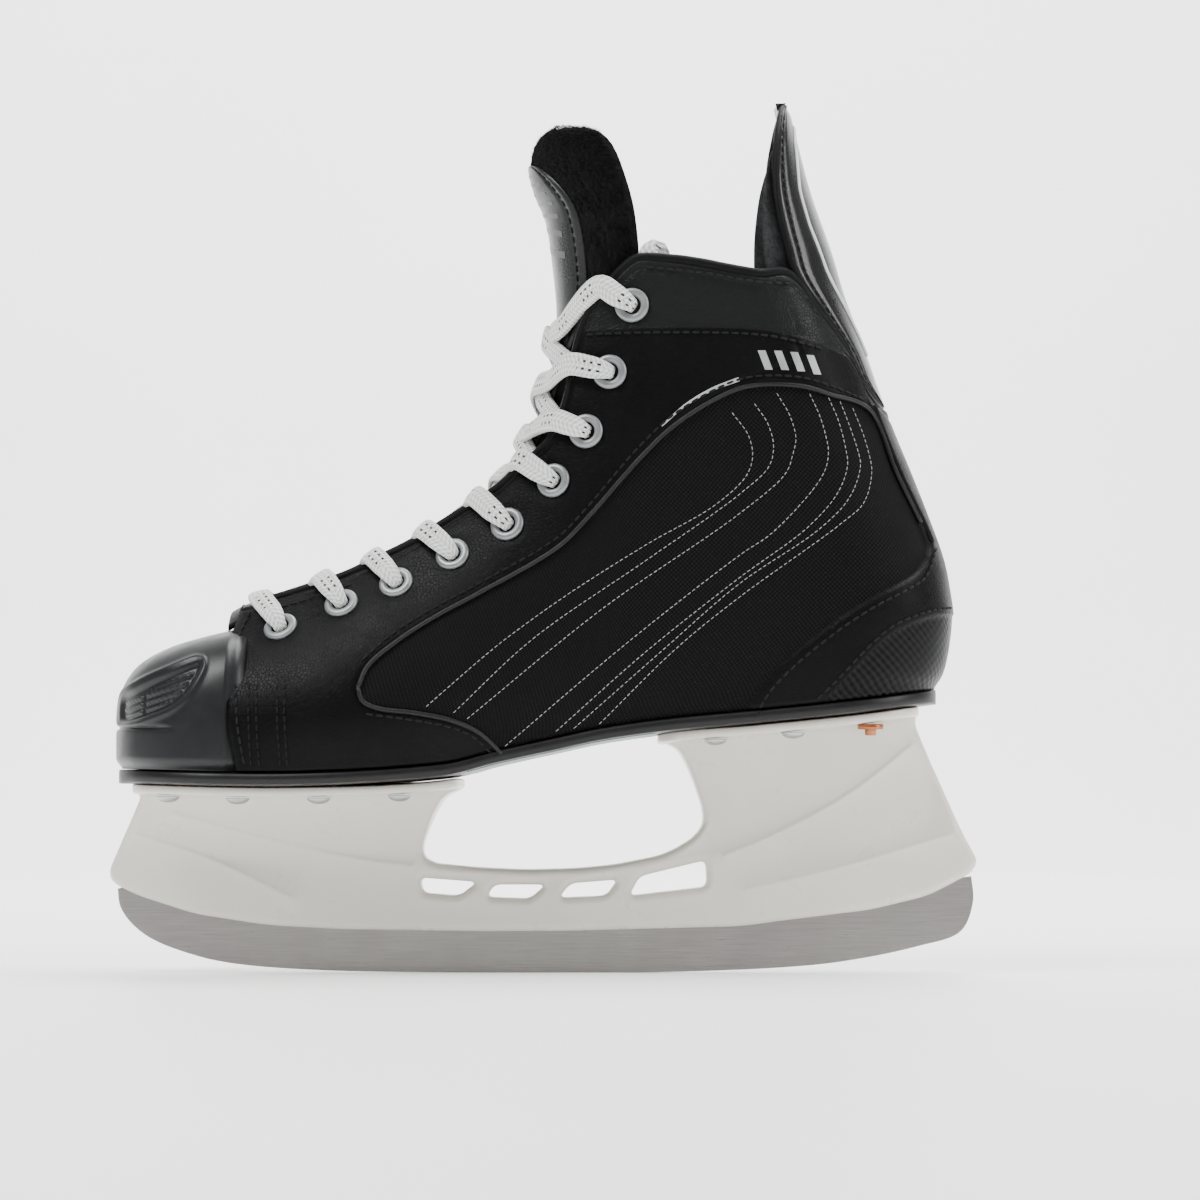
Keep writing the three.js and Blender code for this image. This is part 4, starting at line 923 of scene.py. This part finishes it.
# ---------------------------------------------------------------- tongue
def tongue_point(row, angle, depth):
    """A point of the tongue: row runs up it, angle across it, depth into it."""
    index = np.arange(len(TONGUE_HALF))
    def read(values):
        return along(list(zip(index, values)), row)
    cx, cz = read([p[0] for p in TONGUE_CENTRE]), read([p[1] for p in TONGUE_CENTRE])
    ex, ez = read([p[0] for p in TONGUE_EDGE]), read([p[1] for p in TONGUE_EDGE])
    half = read(TONGUE_HALF)
    length = np.hypot(ex - cx, ez - cz)
    dx, dz = (ex - cx) / length, (ez - cz) / length
    reach = depth + (length - depth) * (1 - np.cos(angle))
    return np.stack([cx + dx * reach, (half - depth) * np.sin(angle), cz + dz * reach], axis=-1)


def bend_tongue(obj):
    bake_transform(obj)


def build_tongue():
    columns, rows = 150, 260
    last = len(TONGUE_HALF) - 1
    v = np.linspace(0, 1, rows)
    row = np.broadcast_to((last * v)[None, :], (columns, rows))
    angle = np.broadcast_to((np.linspace(-1, 1, columns) * (np.pi / 2 - 0.01))[:, None], (columns, rows))
    rim = smoothstep(0.9, 1.0, np.abs(angle) / (np.pi / 2)) + smoothstep(last - 0.9, last, row)
    sunk = 1.2 * (1 - smoothstep(6.5, 8.5, row))
    fuzz = 0.35 * RNG.standard_normal((columns, rows)) * smoothstep(7.6, 8.6, row)
    depth = sunk + 3.0 * np.clip(rim, 0, 1) ** 2 + fuzz
    thick = 5.5 + 2.5 * smoothstep(7, 9, row) - 2.0 * np.clip(rim, 0, 1)
    outer = tongue_point(row, angle, depth)
    inner = tongue_point(row, angle, np.maximum(thick, depth + 1.0) + fuzz)
    obj = shell("tongue_felt", outer, inner, FELT)
    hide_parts("tongue", "tongue_top")
    bend_tongue(obj)
    build_fibres(last)
    build_leaf()


def build_fibres(last):
    """Short loose fibres on the felt rim that stands above the laces."""
    count = 9000
    row = RNG.uniform(8.0, last - 0.02, count)
    angle = RNG.uniform(-1, 1, count) * (np.pi / 2 - 0.02)
    keep = ~((np.abs(angle) < leaf_angle(row) + 0.06) & (row < 11.2))
    row, angle = row[keep], angle[keep]
    base = tongue_point(row, angle, 0.6)
    out = tongue_point(row, angle, -1.0) - tongue_point(row, angle, 0.0)
    out += RNG.normal(0, 0.55, out.shape)
    out /= np.linalg.norm(out, axis=1, keepdims=True)
    cross = np.cross(out, RNG.normal(0, 1, out.shape))
    cross /= np.linalg.norm(cross, axis=1, keepdims=True)
    length = RNG.uniform(0.9, 2.1, len(base))[:, None]
    points = np.stack([base - cross * 0.11, base + cross * 0.11, base + out * length], axis=1).reshape(-1, 3)
    faces = np.arange(len(points)).reshape(-1, 3)
    obj = make("tongue_fibres", points, faces, FELT)
    bend_tongue(obj)


def leaf_angle(row):
    tip = np.sqrt(np.clip(1 - (np.clip(row - 8.2, 0, None) / 2.75) ** 2.2, 0, 1))
    return 0.02 + 0.86 * tip * smoothstep(2, 8, row + 2)


def build_leaf():
    """Grey glossy panel on the tongue's front, from the lower laces up to its rounded point."""
    columns, rows = 90, 200
    row = np.broadcast_to(np.linspace(1.2, 10.95, rows)[None, :], (columns, rows))
    spread = np.broadcast_to(np.linspace(-1, 1, columns)[:, None], (columns, rows))
    widest = np.where(row > 8, leaf_angle(row), 0.5 + 0.38 * smoothstep(5.5, 8, row))
    sunk = 1.2 * (1 - smoothstep(6.5, 8.5, row))
    soft = 0.7 * smoothstep(0.93, 1.0, np.abs(spread)) + 0.5 * np.exp(-((np.abs(spread) - 0.84) / 0.04) ** 2)
    outer = tongue_point(row, spread * widest, sunk - 1.3 + soft)
    inner = tongue_point(row, spread * widest, sunk + 0.3)
    obj = shell("tongue_leaf", outer, inner, GREY_VINYL)
    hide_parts("tongue_panel")
    bend_tongue(obj)
    line = np.linspace(7.6, 10.75, 90)
    rows_of = [tongue_point(line, s * leaf_angle(line) * 0.85, -1.0 + 0 * line) for s in (-1, 1)]
    bend_tongue(beads("leaf_stitching", rows_of, 3.2, 2.3, 0.4, THREAD))
    points, faces = [], []
    for k in range(7):
        low = 8.35 + 0.33 * k
        n, m = 10, 4
        i, j = np.meshgrid(np.linspace(0, 1, n), np.linspace(0, 1, m), indexing="ij")
        reach = float(leaf_angle(np.array(low + 0.3))) * 0.66
        a = -reach + 2 * reach * i
        r = low + 0.1 * j + 0.42 * i
        start = len(points)
        points += tongue_point(r, a * (1 - 0.25 * i), -1.42 + 0 * r).reshape(-1, 3).tolist()
        faces += (grid_faces(n, m) + start).tolist()
    bend_tongue(make("leaf_stripes", points, faces, GREY_PRINT))


# ---------------------------------------------------------------- sole, holder and runner
def sole_half(x, inset):
    """Half the sole's width, rounded at toe and heel."""
    nose = np.sqrt(np.clip(1 - (np.maximum(TOE_CENTRE - x, 0) / (41.5 - inset)) ** 2, 0, 1))
    tail = np.sqrt(np.clip(1 - (np.maximum(x - 97.5, 0) / (37 - inset)) ** 2, 0, 1))
    return (along(SOLE_HALF, x) - inset) * nose * tail


def build_sole():
    """The outsole, with rounded edges, and its teal underside at the arch."""
    stations, around = 260, 40
    turn = np.linspace(0.004, np.pi - 0.004, stations)
    x = (-145.5 + 134.9) / 2 - (134.9 + 145.5) / 2 * np.cos(turn)
    angle = np.linspace(0, 2 * np.pi, around, endpoint=False)
    across, up = superellipse(angle, 0.25, 0.3)
    half = sole_half(x, -0.6)
    mid = along(SOLE_TOP, x) - 2.35
    obj = loft("outsole_edge", x, half, mid, np.full(stations, SOLE_HALF_THICK), (across, up), SOLE_PLASTIC)
    finish_piece(obj, "boot", ["outsole"])
    n, m = 60, 16
    u, v = np.meshgrid(np.linspace(-25, 38, n), np.linspace(-0.93, 0.93, m), indexing="ij")
    z = along(SOLE_TOP, u) - 4.75
    under = np.stack([u, sole_half(u, 0) * v, z], axis=-1)
    top = under + [0, 0, 0.6]
    finish_piece(shell("teal_underside", top, under, TEAL), "boot")


def rounded(points, radius, step=1.0):
    """A polygon's outline with its corners rounded."""
    p = np.array(points, float)
    out = []
    for before, here, after in zip(np.roll(p, 1, axis=0), p, np.roll(p, -1, axis=0)):
        a, b = before - here, after - here
        la, lb = np.linalg.norm(a), np.linalg.norm(b)
        r = min(radius, la * 0.45, lb * 0.45)
        start, end = here + a / la * r, here + b / lb * r
        for s in np.linspace(0, 1, 7):
            out.append((1 - s) ** 2 * start + 2 * s * (1 - s) * here + s * s * end)
    line = np.array(out + [out[0]])
    lengths = run_lengths(line)
    places = np.linspace(0, lengths[-1], int(lengths[-1] / step), endpoint=False)
    return resampled(line, lengths, places)


def offset_line(line, distance):
    ahead = np.roll(line, -1, axis=0) - np.roll(line, 1, axis=0)
    ahead /= np.maximum(np.linalg.norm(ahead, axis=1, keepdims=True), 1e-9)
    return line + np.stack([-ahead[:, 1], ahead[:, 0]], axis=1) * distance


def holder_thickness(x, z):
    """Half the holder's thickness: slim over the steel, flaring into the flanges."""
    top = along(FLANGE_TOP, x) - FLANGE_THICK
    neck = np.minimum(13 + 0.12 * np.abs(x), along(FLANGE_HALF, x) * 0.55)
    climb = np.clip((z - 37) / np.maximum(top - 37, 6), 0, 1)
    body = 6.3 + 0.5 * smoothstep(14, 36, z)
    flare = (neck - 6.5) * (0.45 * smoothstep(0, 1, climb) + 0.55 * climb ** 2.2)
    end = smoothstep(100, 149, np.abs(x))
    return body * (1 - 0.22 * end * (1 - climb)) + flare


def holder_relief(points):
    """Creases moulded into the holder's sides."""
    relief = 0.0
    for height, line in RIDGES:
        distance = to_line(points, curve(line, 3))
        relief = relief + height * (0.55 * np.exp(-distance / 0.9) + 0.45 * np.exp(-(distance / 4.5) ** 2))
    return relief


def build_holder():
    outer = rounded(HOLDER_OUTER, 5.0, 1.3)
    slots = [rounded(slot, 2.4, 0.9) for slot in HOLDER_SLOTS]
    loops = [outer] + slots
    points, edges = [], []
    for loop in loops:
        start = len(points)
        points += loop.tolist()
        edges += [(start + i, start + (i + 1) % len(loop)) for i in range(len(loop))]
    def room(p):
        inner = signed(p, outer)
        for slot in slots:
            inner = np.minimum(inner, -signed(p, slot))
        return inner
    extra = []
    for loop in loops:
        turn = winding(loop)
        for distance in (0.35, 0.9, 1.7, 2.7):
            ring = offset_line(loop, distance * turn * (1 if loop is outer else -1))
            extra.append(ring[room(ring) > distance * 0.8])
    for _, line in RIDGES:
        for distance in (-1.5, -0.7, 0.0, 0.7, 1.5):
            ring = offset_line(curve(line, 1.1), distance)[1:-1]
            extra.append(ring[room(ring) > 3.4])
    gx, gz = np.meshgrid(np.arange(-149, 150, 2.1), np.arange(14, 92, 2.1), indexing="ij")
    mesh_points = np.stack([gx.ravel(), gz.ravel()], axis=1)
    extra.append(mesh_points[room(mesh_points) > 3.6])
    points = np.vstack([np.array(points), *extra])
    loops_index, at = [], 0
    for loop in loops:
        loops_index.append(list(range(at, at + len(loop))))
        at += len(loop)
    result = delaunay_2d_cdt([Vector(p) for p in points], edges, loops_index, 0, 1e-4)
    flat = np.array([list(v) for v in result[0]])
    depth = room(flat)
    middle = np.array([flat[list(f)].mean(axis=0) for f in result[2]])
    faces = [list(f) for f, ok in zip(result[2], room(middle) > 0) if ok]
    radius = 2.2
    edge = np.clip(depth, 0, radius)
    slot_rim = np.min([to_line(flat, slot, closed=True) for slot in slots], axis=0)
    rim = 0.5 * np.exp(-((slot_rim - 2.2) / 0.8) ** 2)
    window = to_line(flat, curve(HOLDER_OUTER[22:32], 2))
    rim += 0.7 * np.exp(-((window - 1.6) / 1.0) ** 2) * smoothstep(60, 50, flat[:, 1])
    y = holder_thickness(flat[:, 0], flat[:, 1]) + holder_relief(flat) * smoothstep(0.5, 4, depth) + rim
    y += -radius + np.sqrt(radius ** 2 - (radius - edge) ** 2)
    count = len(flat)
    verts = np.vstack([np.column_stack([flat[:, 0], side * y, flat[:, 1]]) for side in (-1, 1)])
    both = faces + [[i + count for i in f][::-1] for f in faces]
    uses = {}
    for f in faces:
        for a, b in zip(f, f[1:] + f[:1]):
            uses[(min(a, b), max(a, b))] = uses.get((min(a, b), max(a, b)), 0) + 1
    both += [[a, b, b + count, a + count] for (a, b), n in uses.items() if n == 1]
    obj = make("blade_holder_body", verts, both, HOLDER)
    recalculate(obj)
    finish_piece(obj, "boot", ["blade_holder"])
    for name, low, high in (("front", -140.6, -27.8), ("rear", 39.2, 128.6)):
        build_flange(name, low, high)


def build_flange(name, low, high):
    stations, around = 130, 36
    bend = np.linspace(0, np.pi, stations)
    x = (low + high) / 2 - (high - low) / 2 * np.cos(bend)
    angle = np.linspace(0, 2 * np.pi, around, endpoint=False)
    across, up = superellipse(angle, 0.2, 0.35)
    ends = np.clip(np.minimum(x - low, high - x) / 7.0, 0, 1)
    half = along(FLANGE_HALF, x) * (0.35 + 0.65 * np.sqrt(1 - (1 - ends) ** 2))
    mid = along(FLANGE_TOP, x) - FLANGE_THICK / 2 + 0.35
    thick = FLANGE_THICK / 2 * (0.5 + 0.5 * np.sqrt(1 - (1 - np.clip(ends * 3, 0, 1)) ** 2))
    finish_piece(loft(f"holder_flange_{name}", x, half, mid, thick, (across, up), HOLDER), "boot")


def build_runner():
    bottom = curve(RUNNER_BOTTOM, 1.2)
    top = np.array([[140, 32], [136, 31.5], [132, 39.5], [118, 39.5], [112, 29], [67.6, 22.5], [5.5, 20.5],
                    [-69.7, 21.5], [-94.7, 23], [-100, 37.5], [-114, 37.5], [-119.7, 26], [-139, 30.5]])
    outline = np.vstack([bottom, top])
    n = len(outline)
    layers = [(-1.5, 0.25), (-1.25, 0.0), (0.0, -0.0), (1.25, 0.0), (1.5, 0.25)]
    turn = winding(outline)
    points = []
    for y, shrink in layers:
        ring = offset_line(outline, shrink * turn)
        points += [[x, y, max(z, 0.0)] for x, z in ring]
    faces = []
    for k in range(4):
        for i in range(n):
            a, b, j = k * n, (k + 1) * n, (i + 1) % n
            faces.append([a + i, a + j, b + j, b + i])
    faces += [list(range(n))[::-1], list(range(4 * n, 5 * n))]
    obj = make("runner_steel", points, faces, STEEL, smooth=False)
    recalculate(obj)
    finish_piece(obj, "boot", ["runner"])


def build_rivets():
    for end, xs in (("front", (-126.4, -102.3, -75, -48)), ("rear", (58.3, 84.5, 110.8))):
        for name, side in SIDES.items():
            for i, x in enumerate(xs):
                copper = end == "rear" and i == 2
                y = side * (float(along(FLANGE_HALF, x)) - 6.2)
                z = float(along(FLANGE_TOP, x)) - FLANGE_THICK - 0.25
                size = 4.4 if copper else 4.0
                dome = [[0.01, -1.9], [1.6, -1.75], [2.9, -1.25], [size - 0.3, -0.6], [size, -0.1],
                        [size, 0.2], [0.01, 0.2]]
                if copper:
                    dome = [[0.01, -3.6], [1.7, -3.6], [1.9, -3.3], [1.9, -1.6], [size - 0.2, -1.5],
                            [size, -1.2], [size, 0.2], [0.01, 0.2]]
                label, metal = f"{end}_{name}_{i + 1}", COPPER if copper else RIVET_STEEL
                obj = lathe(f"rivet_head_{label}", dome, (x, y, z), (0, 0, 1), metal, 28)
                finish_piece(obj, "boot", [f"rivet_{label}"])


# ---------------------------------------------------------------- eyelets and lace
def eye_place(side, place, lift=0.0):
    x, z = place
    point = np.array([x, side * float(half_width(np.array(x), np.array(z))), z])
    return point + normal_at(side, np.array(x), np.array(z)) * lift


def build_eyelets():
    arc = np.linspace(0, np.pi, 9)
    crown = [[4.45 + 1.4 * math.cos(a), 0.15 + 0.95 * math.sin(a)] for a in arc]
    profile = crown + [[3.1, -0.3], [3.1, -5.0], [3.75, -5.0], [3.9, -0.3], [5.85, -0.35]]
    for name, side in SIDES.items():
        for i, place in enumerate(EYELETS):
            normal = normal_at(side, np.array(place[0]), np.array(place[1]))
            centre, axis = eye_place(side, place), normal.tolist()
            obj = lathe(f"eyelet_ring_{name}_{i + 1}", profile, centre, axis, EYELET_METAL)
            finish_piece(obj, "boot", [f"eyelet_{name}_{i + 1}"])


def row_beside(place):
    """The tongue's row whose line passes nearest to an eyelet."""
    rows = np.arange(0, FLEX_ROW, 0.05)
    c, e = tongue_point(rows, 0 * rows, 0 * rows), tongue_point(rows, 0 * rows + np.pi / 2, 0 * rows)
    line = (e - c)[:, [0, 2]]
    to = np.array(place) - c[:, [0, 2]]
    gap = np.abs(line[:, 0] * to[:, 1] - line[:, 1] * to[:, 0]) / np.linalg.norm(line, axis=1)
    return float(rows[np.argmin(gap)])


def on_tongue(row, angle, lift):
    point = tongue_point(np.array(row), np.array(angle), np.array(-lift))
    base = tongue_point(np.array(row), np.array(angle), np.array(0.0))
    out = point - base
    return point, out / np.linalg.norm(out)


def edge_beside(side, place):
    """A point on the upper's edge just ahead of an eyelet."""
    table = curve(UPPER_TOP[1:19], 1.0)
    best = table[np.argmin(np.hypot(table[:, 0] - place[0] + 5, table[:, 1] - place[1] - 1.5))]
    x, z = map(np.array, best)
    return np.array([best[0], side * float(half_width(x, z)), best[1]])


def strand(first):
    """Stations of one strand: point, the way the braid faces, width and thickness."""
    out = []
    rows = [row_beside(p) for p in EYELETS]
    for i, place in enumerate(EYELETS):
        side = -first if i % 2 else first
        normal = normal_at(side, np.array(place[0]), np.array(place[1]))
        eye, edge = eye_place(side, place), edge_beside(side, place)
        inward = (edge - eye) / np.linalg.norm(edge - eye)
        lift = 2.0 if first < 0 or i == 0 else 3.9
        middle = on_tongue((rows[i - 1] + rows[i]) / 2 if i else rows[0], 0, lift)
        out.append((*middle, 8.6, 2.2))
        beside = rows[i - 1] * 0.35 + rows[i] * 0.65 if i else rows[0]
        climb = on_tongue(beside, side * (0.22 + 0.05 * i), 3.4)
        out.append((*climb, 8.2, 2.3))
        rise = on_tongue(rows[i], side * 0.5, 4)[1]
        facing = (normal + rise) / np.linalg.norm(normal + rise)
        out.append((edge + normal * 2.6 + inward * 1.0, facing, 8.0, 2.9))
        out.append((eye + normal * 3.7 + inward * 6.0, normal, 7.6, 3.2))
        tipped = (normal * 2 - inward) / np.linalg.norm(normal * 2 - inward)
        out.append((eye + normal * 3.1 + inward * 2.8, tipped, 6.8, 3.3))
        out.append((eye + normal * 0.6 + inward * 0.1, -inward, 4.9, 2.9))
        out.append((eye - normal * 4.6, -inward, 4.2, 2.4))
        if i + 1 < len(EYELETS):
            under = on_tongue(rows[i], side * 1.12, 0.4)
            out.append((*under, 5.0, 1.6))
            low = on_tongue(rows[i] + 0.12, side * 0.66, 0.9)
            out.append((*low, 6.5, 1.8))
    side = first
    for x, y, z in TAIL:
        out.append((np.array([x, side * y, z]), np.array([0.0, side, 0.1]), 8.0, 1.8))

    def bed(x, y):
        return np.array([x, side * y, float(along(SOLE_TOP, x)) + LACE_ABOVE_SOLE])

    runs = [(x, 16) for x in np.linspace(48, -78, 7)] + [(-88, 11)]
    runs += [(x, 5.5) for x in np.linspace(-78, 82, 9)]
    out += [(bed(x, y), np.array([0.0, 0.0, 1.0]), 8.0, 1.8) for x, y in runs]
    return out


def build_lace():
    left, right = strand(-1), strand(1)
    stations = left[::-1] + right[1:]
    data = np.array([np.concatenate([p, n, [w, t]]) for p, n, w, t in stations])
    dense = curve(data[:, :3], 1.3)
    marks = run_lengths(dense)
    nearest = [int(np.argmin(np.linalg.norm(dense - p, axis=1))) for p in data[:, :3]]
    nearest = np.maximum.accumulate(np.array(nearest) + np.arange(len(nearest)) * 1e-3)
    values = [np.interp(np.arange(len(dense)), nearest, data[:, k]) for k in range(3, 8)]
    up = np.stack(values[:3], axis=1)
    up /= np.maximum(np.linalg.norm(up, axis=1, keepdims=True), 1e-6)
    sides = 20
    obj = sweep("lace_braid", dense, values[3], values[4], LACE, up=up, sides=sides, power=0.75)
    angle = np.linspace(0, 2 * np.pi, sides, endpoint=False)
    attribute(obj, "run", np.repeat(marks, sides))
    attribute(obj, "across", np.tile(np.sign(np.cos(angle)) * np.abs(np.cos(angle)) ** 0.75, len(dense)))
    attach(obj, "boot")
    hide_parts("lace")


# ---------------------------------------------------------------- inner pieces and stage
def paint_inner():
    paints = {"footbed": GREY_FELT, "lasting_board": BOARD, "heel_counter": BOARD,
              "runner_bolt_front": RIVET_STEEL,
              "runner_bolt_rear": RIVET_STEEL}
    for name, material in paints.items():
        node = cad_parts[name]
        node.data.materials.clear()
        node.data.materials.append(material)


def area_light(name, place, target, size, power):
    light = bpy.data.lights.new(name, "AREA")
    light.shape = "RECTANGLE"
    light.size, light.size_y = size
    light.energy = power
    obj = bpy.data.objects.new(name, light)
    obj.location = place
    obj.rotation_euler = (Vector(target) - Vector(place)).to_track_quat("-Z", "Y").to_euler()
    bpy.context.collection.objects.link(obj)


def build_stage():
    camera = bpy.data.cameras.new("camera")
    camera.lens = 104.3
    camera.sensor_width = 36
    camera.clip_start = 0.05
    eye = bpy.data.objects.new("camera", camera)
    eye.location = EYE
    eye.rotation_euler = (math.pi / 2 + math.atan2(AIM_HEIGHT - EYE[2], -EYE[1]), 0, 0)
    bpy.context.collection.objects.link(eye)
    bpy.context.scene.camera = eye
    floor = Shader("floor", (0.9, 0.9, 0.9), 0.5)
    pale = floor.remap(floor.noise(3, 3), 0.3, 0.7)
    floor.to("Base Color", floor.mix(pale, (0.94, 0.94, 0.94), (0.97, 0.97, 0.97)))
    floor.set(floor.bsdf, **{"Emission Color": (1, 1, 1, 1), "Emission Strength": 0.45})
    size, depth, bend, height = 3.0, 1.6, 0.9, 3.0
    profile = [(-3.0, 0.0), (depth, 0.0)]
    turns = np.linspace(0.1, math.pi / 2, 12)
    profile += [(depth + bend * math.sin(a), bend * (1 - math.cos(a))) for a in turns]
    profile += [(depth + bend, height)]
    points = [[x, y, z] for y, z in profile for x in (-size, size)]
    faces = [[2 * i, 2 * i + 1, 2 * i + 3, 2 * i + 2] for i in range(len(profile) - 1)]
    make("backdrop", np.array(points) / MM, faces, floor.material)
    world = bpy.data.worlds.new("world")
    world.use_nodes = True
    world.node_tree.nodes["Background"].inputs["Color"].default_value = (1, 1, 1, 1)
    world.node_tree.nodes["Background"].inputs["Strength"].default_value = 0.4
    bpy.context.scene.world = world
    area_light("key", (-0.8, -0.7, 1.5), (0, 0, 0.12), (0.8, 0.8), 30)
    area_light("top", (0.35, 0.3, 1.4), (0, 0, 0.15), (1.2, 0.7), 30)
    area_light("fill", (1.4, -0.5, 0.8), (0, 0, 0.12), (0.5, 1.0), 14)
    area_light("back", (0.0, 0.9, 1.6), (0, 2.4, 0.5), (3.0, 0.8), 90)


build_stage()
build_lace()
reach, columns = build_upper()
build_trim(reach, columns)
build_bars()
build_lining()
build_toe()
build_throat()
build_guard()
build_tongue()
build_sole()
build_holder()
build_runner()
build_rivets()
build_eyelets()
paint_inner()
